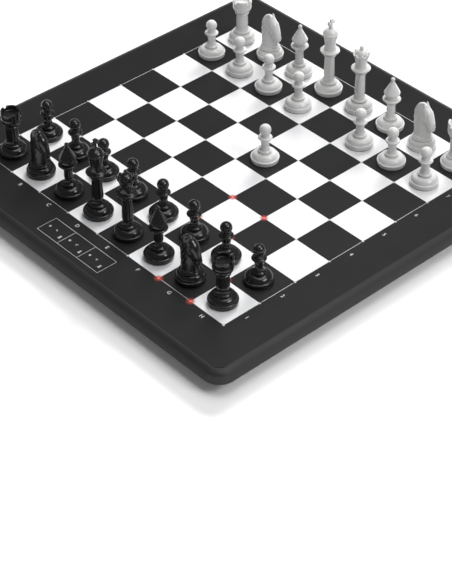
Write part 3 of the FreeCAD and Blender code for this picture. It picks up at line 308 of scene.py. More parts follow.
def build_striped_finish(name, first, second, stripes, axis, rough):
    """Even stripes across an axis, as on a flat cable's cores or a shrink film's seams."""
    material = finish(name, first, rough, grain=1800, bump=0.01)
    tree = material.node_tree
    place = add_node(tree, "ShaderNodeTexCoord").outputs["Object"]
    wave = add_node(tree, "ShaderNodeTexWave", {"Vector": place, "Scale": stripes},
                    bands_direction=axis)
    overprint(material, wave.outputs["Fac"], tone(second, 1.0))
    return material


solder_mask = build_board_finish()
flat_cable = build_striped_finish("flat_cable_grey", (0.42, 0.42, 0.43), (0.25, 0.25, 0.26),
                                  stripes=250, axis="Y", rough=0.5)
film = build_striped_finish("shrink_film_blue", (0.03, 0.09, 0.3), (0.025, 0.075, 0.26),
                            stripes=12, axis="X", rough=0.3)

# %% [markdown]
# ## Mechanical parts that keep their shape
# Most of the inner parts are right as the mechanical model has them, so they only get a finish.
# Their meshes are never changed: the material goes into the object's own slot.

# %% Give the kept parts their finishes
def dress(node, material):
    """Puts a finish on every slot of a mechanical part."""
    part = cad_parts[node]
    if not part.material_slots:
        part.data.materials.append(material)
    for slot in part.material_slots:
        slot.link = "OBJECT"
        slot.material = material


KEPT = {
    "housing_screws": steel, "board_screws": steel, "rubber_feet": rubber,
    "corner_windows": lens, "corner_windows_lit": lens_lit, "field_windows": lens,
    "sensor_board": solder_mask, "touch_board": solder_mask, "main_board": solder_mask,
    "power_board": solder_mask, "touch_pads": foam, "corner_leds": led_cup, "field_leds": led_cup,
    "square_sensors": chip, "processor_chip": chip, "power_switch": chip, "radio_module": tin,
    "ribbon_cable": flat_cable, "battery_pack": film, "battery_bracket": aluminium,
    "battery_lead": lead_red, "sounder": brass, "usb_socket": steel,
}
for node, material in KEPT.items():
    dress(node, material)
print("kept parts", len(KEPT))

# %% [markdown]
# ## Moulded casing
# A moulded casing has no knife edges: the mould's corners are rounded by a few tenths of a
# millimetre, and that small radius is what catches the light along a rim. The mechanical model
# has sharp edges, so a copy of each half is merged into one skin and only the outer edges that
# the hand meets are rounded, by a bevel that reads a weight on each edge.

# %% Helper: a copy of a part with rounded edges
def new_piece(name, mesh, body="board"):
    """An object at the origin for a finished mesh; it moves with a body."""
    piece = bpy.data.objects.new(name, mesh)
    bpy.context.scene.collection.objects.link(piece)
    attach(piece, body)
    return piece


def merged_copy(node):
    """The part's triangles as one skin: doubles merged, and flat neighbours joined."""
    shell = bmesh.new()
    shell.from_mesh(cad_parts[node].data)
    bmesh.ops.remove_doubles(shell, verts=shell.verts[:], dist=1e-6)
    bmesh.ops.dissolve_limit(shell, angle_limit=math.radians(0.3), verts=shell.verts[:],
                             edges=shell.edges[:], use_dissolve_boundaries=False)
    return shell


def rounded_copy(node, name, material, width, near, segments=3):
    """Copy of a part whose edges over 15 degrees are rounded where near(x, y, z) says so."""
    shell = merged_copy(node)
    weight = shell.edges.layers.float.new("bevel_weight_edge")
    count = 0
    for edge in shell.edges:
        middle = (edge.verts[0].co + edge.verts[1].co) / 2
        sharp = len(edge.link_faces) == 2 and edge.calc_face_angle(0.0) > math.radians(15)
        if sharp and near(*middle):
            edge[weight] = 1.0
            count += 1
    mesh = bpy.data.meshes.new(name)
    shell.to_mesh(mesh)
    shell.free()
    mesh.materials.clear()
    mesh.materials.append(material)
    mesh.polygons.foreach_set("material_index", np.zeros(len(mesh.polygons), np.int32))
    piece = new_piece(name, mesh)
    bevel = piece.modifiers.new("rounding", "BEVEL")
    bevel.limit_method = "WEIGHT"
    bevel.width = width
    bevel.segments = segments
    bevel.use_clamp_overlap = True
    mesh.shade_smooth()
    mesh.set_sharp_from_angle(angle=math.radians(32))
    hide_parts(node)
    print(name, "rounded edges", count)
    return piece


# %% The two halves
RIM_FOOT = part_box("top_cover")[0].z
plate_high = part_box("faceplate")[1]


def on_outer_edge(x, y, z):
    """True on the outline's outer edges: outside the plate's recess, above the rim's foot."""
    outside = abs(x) > plate_high.x + 1 * MM or abs(y) > plate_high.y + 1 * MM
    corner = abs(x) > plate_high.x - 7 * MM and abs(y) > plate_high.y - 7 * MM
    level = min(abs(z - TOP), abs(z - RIM_FOOT - 8 * MM), abs(z - RIM_FOOT)) < 0.05 * MM
    return level and (outside or corner)


def on_tray_foot(x, y, z):
    """True on the tray's lowest edges, near its outer wall."""
    return abs(z - TRAY_FOOT) < 0.05 * MM and max(abs(x), abs(y)) > 175 * MM


def on_button_front(x, y, z):
    """True on the button's edges outside the rear wall."""
    return y > 196 * MM


cover = rounded_copy("top_cover", "casing_top", casing, 0.55 * MM, on_outer_edge)
TRAY_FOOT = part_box("bottom_cover")[0].z
tray = rounded_copy("bottom_cover", "casing_tray", casing, 0.5 * MM, on_tray_foot)
power_cap = rounded_copy("power_button", "power_cap", button, 0.35 * MM, on_button_front)
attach(power_cap, "power_button_cap")

# %% [markdown]
# ## Printed plate
# The squares are ink on one thin plate, not separate tiles. Edges in the geometry stay sharp at
# any size, so the plate's skin is cut along the lines of the field and each face takes the ink of
# its square. The small holes for the lights stay as they are.

# %% Cut the plate along its squares
def in_squares(mesh):
    """File and rank of every face's middle, from the outer corner of A1, and its normal's z."""
    middles = np.empty(len(mesh.polygons) * 3, np.float32)
    normals = np.empty_like(middles)
    mesh.polygons.foreach_get("center", middles)
    mesh.polygons.foreach_get("normal", normals)
    middles = middles.reshape(-1, 3)
    return middles[:, 0] / SQUARE + 4, middles[:, 1] / SQUARE + 4, normals.reshape(-1, 3)[:, 2]


def build_plate():
    """The plate in three inks: border black, white squares, and black squares."""
    shell = merged_copy("faceplate")
    for line in range(9):
        for axis in ((1, 0, 0), (0, 1, 0)):
            place = tuple((line - 4) * SQUARE * part for part in axis)
            everything = shell.verts[:] + shell.edges[:] + shell.faces[:]
            bmesh.ops.bisect_plane(shell, geom=everything, dist=1e-7, plane_co=place, plane_no=axis)
    mesh = bpy.data.meshes.new("printed_plate")
    shell.to_mesh(mesh)
    shell.free()
    mesh.materials.clear()
    for ink in (print_black, print_light):
        mesh.materials.append(ink)
    files, ranks, up = in_squares(mesh)
    on_field = (up > 0.9) & (files > 0) & (files < 8) & (ranks > 0) & (ranks < 8)
    white = on_field & ((np.floor(files) + np.floor(ranks)) % 2 == 1)
    mesh.polygons.foreach_set("material_index", white.astype(np.int32))
    mesh.polygons.foreach_set("use_smooth", np.zeros(len(mesh.polygons), bool))
    mesh.update()
    plate = new_piece("printed_plate", mesh)
    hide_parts("faceplate")
    print("plate faces", len(mesh.polygons), "white", int(white.sum()))
    return plate


plate = build_plate()

# %% [markdown]
# The border line, the frame of the touch fields, the letters and the figures are a second ink.
# Silk-screen ink stands a few hundredths of a millimetre proud, so each mark is a very thin
# closed slab. That keeps it crisp and gives it a real edge in the light.

# %% Helper: thin slabs of ink
INK = 0.025 * MM


def prism(outlines, low, high):
    """One closed slab for each outline: its points at both heights, two caps and a wall."""
    points, faces, start = [], [], 0
    for outline in outlines:
        count = len(outline)
        flat = np.asarray(outline, float)
        for height in (low, high):
            points.append(np.column_stack([flat, np.full(count, height)]))
        ring = np.arange(count)
        ahead = (ring + 1) % count
        walls = np.column_stack([ring, ahead, ahead + count, ring + count]) + start
        faces += walls.tolist()
        faces.append((start + ring[::-1]).tolist())
        faces.append((start + count + ring).tolist())
        start += 2 * count
    return np.vstack(points), faces


def mesh_from(name, points, faces, materials):
    """A mesh from rows of points and lists of corners."""
    mesh = bpy.data.meshes.new(name)
    mesh.from_pydata(points.tolist(), [], faces)
    for material in materials:
        mesh.materials.append(material)
    mesh.update()
    return mesh


def points_of(mesh):
    """A mesh's vertices as rows of x, y and z."""
    places = np.empty(len(mesh.vertices) * 3, np.float32)
    mesh.vertices.foreach_get("co", places)
    return places.reshape(-1, 3)


def move_points(mesh, places):
    """Writes rows of x, y and z back to the mesh's vertices."""
    mesh.vertices.foreach_set("co", places.astype(np.float32).ravel())


def finished_mesh(carrier):
    """The mesh that an object has after its modifiers or its text are worked out."""
    bpy.context.scene.collection.objects.link(carrier)
    bpy.context.view_layer.update()
    ready = carrier.evaluated_get(bpy.context.evaluated_depsgraph_get())
    mesh = bpy.data.meshes.new_from_object(ready)
    bpy.data.objects.remove(carrier)
    return mesh


def bar(left, right, low, high):
    """A rectangle's corners, anticlockwise."""
    return [(left, low), (right, low), (right, high), (left, high)]


# %% Border line of the playing field
LINE = 0.42 * MM
RIM_GAP = 0.12 * MM        # bare plate between a light's rim and the line
WINDOW = (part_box("corner_windows")[1].x - field_high.x + LAMP_WIDTH / 2) + RIM_GAP


def border_bars():
    """Eight bars a side, from one corner light's rim to the next, centred on the field's edge."""
    bars = []
    for step in range(8):
        start = (step - 4) * SQUARE + WINDOW
        end = (step - 3) * SQUARE - WINDOW
        for edge in (-4 * SQUARE, 4 * SQUARE):
            bars.append(bar(start, end, edge - LINE / 2, edge + LINE / 2))
            bars.append(bar(edge - LINE / 2, edge + LINE / 2, start, end))
    return bars


border = new_piece("border_line", mesh_from("border_line", *prism(border_bars(), TOP, TOP + INK),
                                            [print_ink]))
print("border line starts", round(WINDOW / MM, 2), "mm from a light's middle")

# %% Frame and signs of the touch fields
FRAME_LINE = 0.34 * MM
FIELD_EDGES = (2.985, 3.664, 4.327, 5.01)      # in squares from the corner of A1
FIELD_FRONT, FIELD_BACK = -0.835, -0.31


def frame_bars():
    """Two long bars and four short ones between them."""
    half = FRAME_LINE / 2
    lefts = [on_board(edge, 0)[0] for edge in FIELD_EDGES]
    front, back = on_board(0, FIELD_FRONT)[1], on_board(0, FIELD_BACK)[1]
    bars = [bar(lefts[0] - half, lefts[-1] + half, y - half, y + half) for y in (front, back)]
    bars += [bar(x - half, x + half, front + half, back - half) for x in lefts]
    return bars


def arc(middle, radius, start, end, steps=20):
    """Points on a circle from one angle to another, in degrees."""
    turn = np.radians(np.linspace(start, end, steps))
    return np.column_stack([middle[0] + radius * np.cos(turn), middle[1] + radius * np.sin(turn)])


def ring_piece(middle, radius, width, start, end):
    """A curved bar: out along one arc and back along a smaller one."""
    outer = arc(middle, radius, start, end)
    inner = arc(middle, radius - width, end, start)
    return np.vstack([outer, inner])


def man_sign(head):
    """Outlines of a small chessman: foot, body and one of three heads, about the sign's middle."""
    base = bar(-1.25, 1.25, -1.9, -1.35)
    body = [(-0.8, -1.25), (0.8, -1.25), (0.45, 0.35), (-0.45, 0.35)]
    heads = {
        "pawn": [arc((0, 0.95), 0.72, 0, 345)],
        "rook": [[(-0.85, 0.4), (0.85, 0.4), (0.85, 1.7), (0.45, 1.7), (0.45, 1.25), (-0.45, 1.25),
                  (-0.45, 1.7), (-0.85, 1.7)]],
        "queen": [[(-0.7, 0.4), (0.7, 0.4), (1.15, 1.7), (0.45, 1.15), (0, 1.9), (-0.45, 1.15),
                   (-1.15, 1.7)]],
    }
    return [base, body] + heads[head]


SIGNS = (
    ((3.33, -0.565), [[(-1.2, -0.2), (-0.5, 1.0), (0.2, -0.2)],
                      [(-0.1, 0.1), (1.3, 0.1), (0.6, -1.1)]]),
    ((4.0, -0.565), [ring_piece((0, 0), 1.05, 0.36, 40, 330),
                     [(0.5, 0.3), (1.5, 0.5), (0.8, 1.2)]]),
    ((4.665, -0.565), [bar(-1.1, 1.1, -0.18, 0.18), bar(-0.18, 0.18, 0.18, 1.1),
                       bar(-0.18, 0.18, -1.1, -0.18)]),
    ((3.553, -0.66), man_sign("queen")),
    ((4.222, -0.66), man_sign("pawn")),
    ((4.88, -0.66), man_sign("rook")),
)


def sign_outlines():
    """Every sign's outlines, scaled from millimetres and moved to its place on the board."""
    placed = []
    for (file, rank), outlines in SIGNS:
        middle = np.array(on_board(file, rank))
        placed += [np.asarray(outline, float) * MM + middle for outline in outlines]
    return placed


signs = prism(frame_bars() + sign_outlines(), TOP, TOP + INK)
legend = new_piece("touch_field_signs", mesh_from("touch_field_signs", *signs, [print_ink]))
print("touch field outlines", len(frame_bars()) + len(sign_outlines()))

# %% [markdown]
# Letters and figures come from the built-in font. A text object is turned into a mesh first and
# then moved, so that the finished piece sits at the origin like all the others.

# %% Letters and figures along two sides
LETTER_SIZE = 5.0 * MM
LETTER_WEIGHT = 0.04 * MM             # how far the outlines are thickened
LETTER_ROW, FIGURE_COLUMN = -0.147, 8.148     # in squares from the corner of A1


def text_mesh(word, middle):
    """One word as a thin closed mesh, centred on a place on the board."""
    curve = bpy.data.curves.new("mark", "FONT")
    curve.body = word
    curve.size = LETTER_SIZE
    curve.align_x = "CENTER"
    curve.align_y = "CENTER"
    curve.extrude = INK / 2
    curve.offset = LETTER_WEIGHT
    mesh = finished_mesh(bpy.data.objects.new("mark", curve))
    move_points(mesh, points_of(mesh) + np.array([*middle, TOP + INK / 2], np.float32))
    return mesh


def joined(name, meshes, materials):
    """Several meshes as one, with one set of materials."""
    whole = bmesh.new()
    for mesh in meshes:
        whole.from_mesh(mesh)
    result = bpy.data.meshes.new(name)
    whole.to_mesh(result)
    whole.free()
    result.materials.clear()
    for material in materials:
        result.materials.append(material)
    result.update()
    return result


marks = []
for step in range(8):
    marks.append(text_mesh("ABCDEFGH"[step], on_board(step + 0.5, LETTER_ROW)))
    marks.append(text_mesh(str(step + 1), on_board(FIGURE_COLUMN, step + 0.5)))
lettering = new_piece("board_lettering", joined("board_lettering", marks, [print_ink]))
print("letters and figures", len(marks))

# %% [markdown]
# ## Turned men
# Five of the six kinds of men are turned shapes: a profile, spun about the upright axis. The
# profile is a list of stations from the foot's middle up to the top, in millimetres. Between two
# stations it may bow outwards, and every corner is then eased, because a mould leaves none sharp.

# %% Profile helpers
def bowed(first, last, bulge, steps=9):
    """Points from first to last on a circle's arc whose height is bulge times the chord.

    A point at share s of the way stands 4 s (1 - s) times the height off the chord, to its right,
    which is outwards for a profile that runs up."""
    first, last = np.asarray(first, float), np.asarray(last, float)
    share = np.linspace(0, 1, steps)[:, None]
    chord = last - first
    right = np.array([chord[1], -chord[0]])
    return first + share * chord + 4 * share * (1 - share) * bulge * right


def ball(radius, top, neck):
    """The profile of a ball under a top height, from where its skin is neck away from the axis."""
    turn = np.linspace(-math.acos(neck / radius), math.pi / 2, 18)
    return np.column_stack([radius * np.cos(turn), top - radius + radius * np.sin(turn)])


def eased(points, cut):
    """Cuts every corner back twice, by a quarter of each side or by cut, whichever is less."""
    for _ in range(2):
        step = points[1:] - points[:-1]
        length = np.maximum(np.linalg.norm(step, axis=1, keepdims=True), 1e-9)
        share = np.minimum(0.25, cut / length)
        inner = np.stack([points[:-1] + step * share, points[1:] - step * share], axis=1)
        points = np.vstack([points[:1], inner.reshape(-1, 2)[1:-1], points[-1:]])
    return points


def profile(stations, cut=0.22):
    """Runs through (radius, height) or (radius, height, bulge) stations and ready runs of points."""
    runs = []
    for here, ahead in zip(stations, stations[1:] + [None]):
        if isinstance(here, np.ndarray):
            runs.append(here)
        elif len(here) == 3 and ahead is not None:
            end = ahead[0] if isinstance(ahead, np.ndarray) else ahead[:2]
            runs.append(bowed(here[:2], end, here[2])[:-1])
        else:
            runs.append(np.array([here[:2]], float))
    return eased(np.vstack(runs), cut)


# %% The foot that all men share
FELT = 0.4      # millimetres of felt under each man


def foot(width, ring):
    """Felt, upright disc, bead, dome and the small ring on which the stem starts."""
    edge = width / 2 - 0.3
    return [
        (0.0, 0.0), (edge - 0.4, 0.0), (edge - 0.3, 0.1), (edge - 0.3, FELT),
        (edge - 0.22, FELT + 0.03), (edge, 0.75), (edge, 2.4, 0.15), (edge, 4.4), (edge - 0.75, 4.55, 0.17),
        (ring - 0.25, 9.25), (ring, 9.4, 0.3), (ring, 11.05), (ring - 0.35, 11.3),
    ]


def flange(radius, low, high):
    """A rounded ring round a stem."""
    return [(radius, low, 0.35), (radius, high)]


PROFILES = {
    "pawn": foot(25.0, 5.64) + [
        (4.85, 11.55, -0.12), (3.8, 18.1), (3.57, 21.6), *flange(5.4, 22.1, 24.5), (3.95, 24.85),
        (3.75, 26.7), ball(5.0, 36.2, 3.3)],
    "rook": foot(25.2, 7.3) + [
        (6.5, 11.55, -0.1), (5.5, 17.5), (5.2, 28.1), *flange(5.9, 28.5, 30.0), (5.6, 30.35, 0.16),
        (8.45, 37.6, 0.03), (8.75, 42.9), (8.5, 43.8), (7.15, 43.8), (6.85, 43.4), (6.7, 40.0),
        (5.7, 39.8), (0.0, 39.8)],
    "bishop": foot(25.4, 5.73) + [
        (4.95, 11.55, -0.14), (3.9, 17.3), (3.55, 24.7), *flange(4.5, 25.05, 26.35),
        (4.0, 26.75, -0.12), (7.45, 28.4, 0.35), (7.45, 30.15), (4.9, 30.75, -0.05), (4.5, 33.3),
        (5.9, 33.8, 0.14), (7.15, 36.2), (1.4, 47.1), (1.1, 47.35), ball(1.85, 50.8, 1.1)],
    "queen": foot(25.6, 6.72) + [
        (5.9, 11.55, -0.14), (4.8, 17.8), (4.15, 37.0), *flange(5.1, 37.35, 38.7),
        (4.7, 39.05, -0.12), (8.1, 41.5, 0.35), (8.1, 43.3), (5.3, 44.1, -0.08), (7.0, 55.6, -0.05),
        (7.65, 58.5), (6.5, 58.6), (5.7, 57.3, 0.16), (1.35, 61.2), (1.25, 61.5),
        ball(1.85, 65.0, 1.2)],
    "king": foot(25.6, 6.86) + [
        (6.05, 11.55, -0.14), (4.9, 17.8), (4.25, 37.0), *flange(5.25, 37.35, 38.7),
        (4.8, 39.05, -0.12), (8.2, 41.5, 0.35), (8.2, 43.3), (5.15, 44.1, -0.05), (7.1, 59.4, 0.3),
        (6.8, 60.9, 0.14), (1.9, 65.0), (1.5, 65.5), (1.5, 66.0), (0.0, 66.2)],
    "knight": foot(25.2, 8.8) + [(8.3, 11.55, 0.12), (8.05, 12.5), (7.4, 12.9), (0.0, 13.1)],
}
outlines = {kind: profile(stations) for kind, stations in PROFILES.items()}
print("profile points", {kind: len(points) for kind, points in outlines.items()})

# %% Spin a profile
def ring_faces(rows, turns):
    """Quads between neighbouring rings of a grid, and a fan of triangles to a pole at each end."""
    ring = np.arange(turns)
    ahead = (ring + 1) % turns
    start = np.arange(rows - 1)[:, None] * turns
    quads = np.stack([start + ring, start + ahead, start + turns + ahead, start + turns + ring], -1)
    low = np.column_stack([np.full(turns, rows * turns), ahead, ring])
    last = (rows - 1) * turns
    high = np.column_stack([np.full(turns, rows * turns + 1), last + ring, last + ahead])
    return quads.reshape(-1, 4), low, high


def spun(points, angles):
    """Rings at each profile point but the two on the axis, which become the poles.

    angles holds, for every ring and column, the turn about the axis; a plain man has the same even
    turns in every ring."""
    radius, height = points[1:-1, 0, None], points[1:-1, 1, None]
    rings = np.stack([radius * np.cos(angles), radius * np.sin(angles),
                      np.broadcast_to(height, angles.shape)], -1)
    poles = np.array([[0, 0, points[0, 1]], [0, 0, points[-1, 1]]])
    return rings, poles


def skin_of(name, rings, poles, materials, felted):
    """The mesh of a grid of rings closed at its poles, in metres, with felt on its lowest rows."""
    rows, turns = rings.shape[:2]
    quads, low, high = ring_faces(rows, turns)
    points = np.vstack([rings.reshape(-1, 3), poles]) * MM
    mesh = mesh_from(name, points, quads.tolist() + low.tolist() + high.tolist(), materials)
    ink = np.zeros(len(mesh.polygons), np.int32)
    ink[:felted * turns] = 1
    ink[len(quads):len(quads) + turns] = 1
    mesh.polygons.foreach_set("material_index", ink)
    mesh.shade_smooth()
    mesh.set_sharp_from_angle(angle=math.radians(38))
    return mesh


# %% [markdown]
# Two kinds need more than a spin. The rook's wall has four notches: the columns of its grid are
# crowded onto the notches' sides, and the ones between them are pressed down to the notch's
# floor. The queen's rim is drawn into eight points by letting its height rise and fall with the
# angle.

# %% Grids of angles, notches and points
TURNS = 56


def even_turns(rows):
    """The same evenly spaced angles for every ring."""
    return np.broadcast_to(np.linspace(0, 2 * math.pi, TURNS, endpoint=False), (rows, TURNS))


def rook_rings(points, half_notch=1.5, notch_floor=41.2):
    """Columns that hug the notches' sides at every radius, and are pressed down between them."""
    inside = np.array([-1, -0.5, 0, 0.5, 1.0])
    outside = np.concatenate([[0.0015], np.linspace(0.08, 0.92, 9), [0.9985]])
    by_notch = np.concatenate([inside, 1 - 2 * outside])
    by_quarter = np.concatenate([inside * 0, outside])
    radius = points[1:-1, 0, None]
    half_turn = np.arcsin(half_notch / np.maximum(radius, 4.0))
    quarter = half_turn * by_notch + by_quarter * math.pi / 2
    angles = np.concatenate([quarter + turn * math.pi / 2 for turn in range(4)], axis=1)
    rings, poles = spun(points, angles)
    notched = np.tile(np.arange(16) < 5, 4)
    crown = (points[1:-1, 1] > notch_floor)[:, None] & notched
    rings[..., 2] = np.where(crown, notch_floor, rings[..., 2])
    return rings, poles


def queen_rings(points, points_round=8, depth=2.1):
    """Lowers the coronet's rim between its points, most at the rim and not at all below it."""
    rings, poles = spun(points, even_turns(len(points) - 2))
    angle = np.arctan2(rings[..., 1], rings[..., 0])
    valley = (0.5 - 0.5 * np.cos(points_round * angle)) ** 0.75
    radius, height = points[1:-1, 0, None], points[1:-1, 1, None]
    share = np.clip((height - 54.5) / 3.5, 0, 1) ** 1.5 * (radius > 5.6)
    rings[..., 2] -= depth * share * valley
    rings[..., :2] *= (1 + 0.035 * share * (0.5 - valley))[..., None]
    return rings, poles


def felt_rows(points):
    """How many bands of the profile lie on the felt."""
    return int((points[1:-1, 1] < FELT - 0.02).sum())


def turned_mesh(kind, colour):
    """A spun man or foot, with felt under it."""
    points = outlines[kind]
    makers = {"rook": rook_rings, "queen": queen_rings}
    rings, poles = makers.get(kind, lambda p: spun(p, even_turns(len(p) - 2)))(points)
    return skin_of(kind, rings, poles, [colour, felt], felt_rows(points))


# %% [markdown]
# The king's cross is a flat shape with flared arms. Its outline is carried through the thickness
# and pulled in at both faces, which rounds the edges without a bevel.

# %% The king's cross
CROSS_MIDDLE = 70.7      # millimetres above the board


def cross_outline():
    """One flared arm, turned about the middle four times; the lower arm is longer."""
    arm = np.array([(0.95, 0.95), (1.25, 2.6), (1.75, 3.45), (1.2, 3.75), (-1.2, 3.75),
                    (-1.75, 3.45), (-1.25, 2.6)])
    turns = [np.array([[math.cos(t), -math.sin(t)], [math.sin(t), math.cos(t)]])
             for t in (0, math.pi / 2, math.pi, 1.5 * math.pi)]
    shape = np.vstack([arm @ turn.T for turn in turns])
    shape[:, 1] = np.where(shape[:, 1] < -1, shape[:, 1] * 1.35, shape[:, 1])
    return shape


def pulled_in(outline, reach):
    """Every point moved inwards by reach along the mean of its two sides' normals."""
    ahead = np.roll(outline, -1, 0) - outline
    behind = outline - np.roll(outline, 1, 0)
    normals = [np.column_stack([-side[:, 1], side[:, 0]])
               / np.linalg.norm(side, axis=1, keepdims=True) for side in (ahead, behind)]
    mean = normals[0] + normals[1]
    mean /= np.maximum(np.linalg.norm(mean, axis=1, keepdims=True), 1e-6)
    stretch = 1 / np.maximum(0.4, (mean * normals[0]).sum(1, keepdims=True))
    return outline + mean * reach * stretch


def cross_mesh(colour):
    """The cross stands across the board's files, in the plane of its ranks' lines."""
    outline = cross_outline()
    layers = [(-1.25, 0.4), (-1.1, 0.12), (-0.8, 0.0), (0.8, 0.0), (1.1, 0.12), (1.25, 0.4)]
    rings = np.array([np.column_stack([np.full(len(outline), depth), pulled_in(outline, reach)])
                      for depth, reach in layers])
    rings[..., 2] += CROSS_MIDDLE
    count, turns = len(layers), len(outline)
    ring = np.arange(turns)
    faces = ring_faces(count, turns)[0].tolist()
    faces += [ring[::-1].tolist(), ((count - 1) * turns + ring).tolist()]
    mesh = mesh_from("cross", rings.reshape(-1, 3) * MM, faces, [colour])
    mesh.shade_smooth()
    mesh.set_sharp_from_angle(angle=math.radians(50))
    return mesh

# %% [markdown]
# ## The knight
# A horse's head can't be spun. It is put together from soft limbs, each one an oval carried along
# a path and rounded at its ends: neck, head, cheek, muzzle, ears and the crest of the mane. A
# voxel remesh melts them into one skin, a few rounds of smoothing blend the joints, and the mane's
# locks, the eyes, the nostrils and the mouth are then pushed in or out by a formula.

# %% Limbs
def smooth_path(points, steps=10):
    """A Catmull-Rom curve: it leaves and arrives along the chords of a point's neighbours."""
    points = np.asarray(points, float)
    padded = np.vstack([2 * points[0] - points[1], points, 2 * points[-1] - points[-2]])
    share = np.linspace(0, 1, steps, endpoint=False)[:, None, None]
    a, b, c, d = padded[:-3], padded[1:-2], padded[2:-1], padded[3:]
    curve = 0.5 * (2 * b + (c - a) * share + (2 * a - 5 * b + 4 * c - d) * share ** 2
                   + (3 * b - a - 3 * c + d) * share ** 3)
    curve = curve.transpose(1, 0, 2).reshape(-1, points.shape[1])
    return np.vstack([curve, points[-1:]])


def limb(stations, side=0.0, turns=28, squareness=2.3):
    """A closed skin round a path of stations x, z, half depth, half width; side is the path's y.

    The oval across the path has its depth in the plane of the path and its width across it, and the
    ends are closed by a quarter of an ellipse."""
    path = smooth_path(stations)
    along = np.gradient(path[:, :2], axis=0)
    along /= np.linalg.norm(along, axis=1, keepdims=True)
    swell = np.sin(np.linspace(0.12, 1, 6) * math.pi / 2)
    drop = np.cos(np.linspace(0.12, 1, 6) * math.pi / 2)
    first = np.repeat(path[:1], 6, 0)
    first[:, :2] -= along[:1] * path[0, 2] * drop[:, None] * 0.9
    last = np.repeat(path[-1:], 6, 0)
    last[:, :2] += along[-1:] * path[-1, 2] * drop[:, None] * 0.9
    first[:, 2:] *= swell[:, None]
    last[:, 2:] *= swell[:, None]
    whole = np.vstack([first, path[1:-1], last[::-1]])
    ways = np.vstack([np.repeat(along[:1], 6, 0), along[1:-1], np.repeat(along[-1:], 6, 0)])
    turn = np.linspace(0, 2 * math.pi, turns, endpoint=False)
    across = np.sign(np.cos(turn)) * np.abs(np.cos(turn)) ** (2 / squareness)
    sideways = np.sign(np.sin(turn)) * np.abs(np.sin(turn)) ** (2 / squareness)
    front = np.column_stack([ways[:, 1], -ways[:, 0]])
    rings = np.empty((len(whole), turns, 3))
    rings[..., 0] = whole[:, 0, None] + front[:, 0, None] * whole[:, 2, None] * across
    rings[..., 2] = whole[:, 1, None] + front[:, 1, None] * whole[:, 2, None] * across
    rings[..., 1] = side + whole[:, 3, None] * sideways
    poles = np.array([rings[0].mean(0), rings[-1].mean(0)])
    return rings, poles


EAR = [(1.4, 41.0, 1.4, 1.3), (1.1, 43.2, 1.1, 0.9), (0.7, 44.7, 0.5, 0.4)]
LIMBS = [
    limb([(-0.3, 12.0, 8.0, 7.0), (-0.9, 17.0, 7.6, 6.1), (-1.9, 23.0, 7.1, 5.3),
          (-2.2, 29.0, 6.5, 4.8), (-1.3, 34.5, 5.7, 4.4), (0.5, 38.3, 4.5, 4.0)]),
    limb([(0.7, 38.3, 4.2, 4.1), (3.9, 33.8, 5.2, 4.5), (7.0, 28.2, 4.5, 3.9),
          (8.8, 23.4, 3.6, 3.4)]),
    limb([(2.6, 32.6, 3.8, 4.9), (3.7, 29.2, 4.0, 5.0)]),
    limb([(8.7, 23.6, 3.1, 3.6), (9.4, 21.5, 2.9, 3.5)]),
    limb(EAR, side=2.1),
    limb(EAR, side=-2.1),
    limb([(2.6, 41.5, 1.2, 1.5), (-1.4, 41.9, 1.7, 1.8), (-5.3, 38.8, 2.1, 2.2),
          (-7.9, 33.0, 2.1, 2.5), (-8.2, 26.5, 2.0, 2.7), (-7.6, 20.0, 1.8, 2.8), (-6.7, 15.0, 1.5, 2.8)]),
]


# %% Melt them into one skin
def melted(name, limbs, voxel=0.36, rounds=7):
    """One mesh of all limbs, by a voxel remesh and a few rounds of smoothing, in millimetres."""
    meshes = []
    for rings, poles in limbs:
        quads, low, high = ring_faces(*rings.shape[:2])
        faces = quads.tolist() + low.tolist() + high.tolist()
        meshes.append(mesh_from("limb", np.vstack([rings.reshape(-1, 3), poles]), faces, []))
    carrier = bpy.data.objects.new(name, joined(name, meshes, []))
    remesh = carrier.modifiers.new("melt", "REMESH")
    remesh.mode = "VOXEL"
    remesh.voxel_size = voxel
    even = carrier.modifiers.new("even", "SMOOTH")
    even.factor = 0.5
    even.iterations = rounds
    return finished_mesh(carrier)


# %% [markdown]
# The carving works on all vertices at once. Each feature is a soft spot or a wave whose height is
# added along the skin's normal. The mane's locks are a wave that runs slantwise down the back of
# the neck and fades out towards the throat.

# %% Carve the head
def soft_spot(places, middle, radii):
    """1 at the middle of an ellipsoid, falling off as a bell curve."""
    away = (places - np.array(middle)) / np.array(radii)
    return np.exp(-(away ** 2).sum(1))


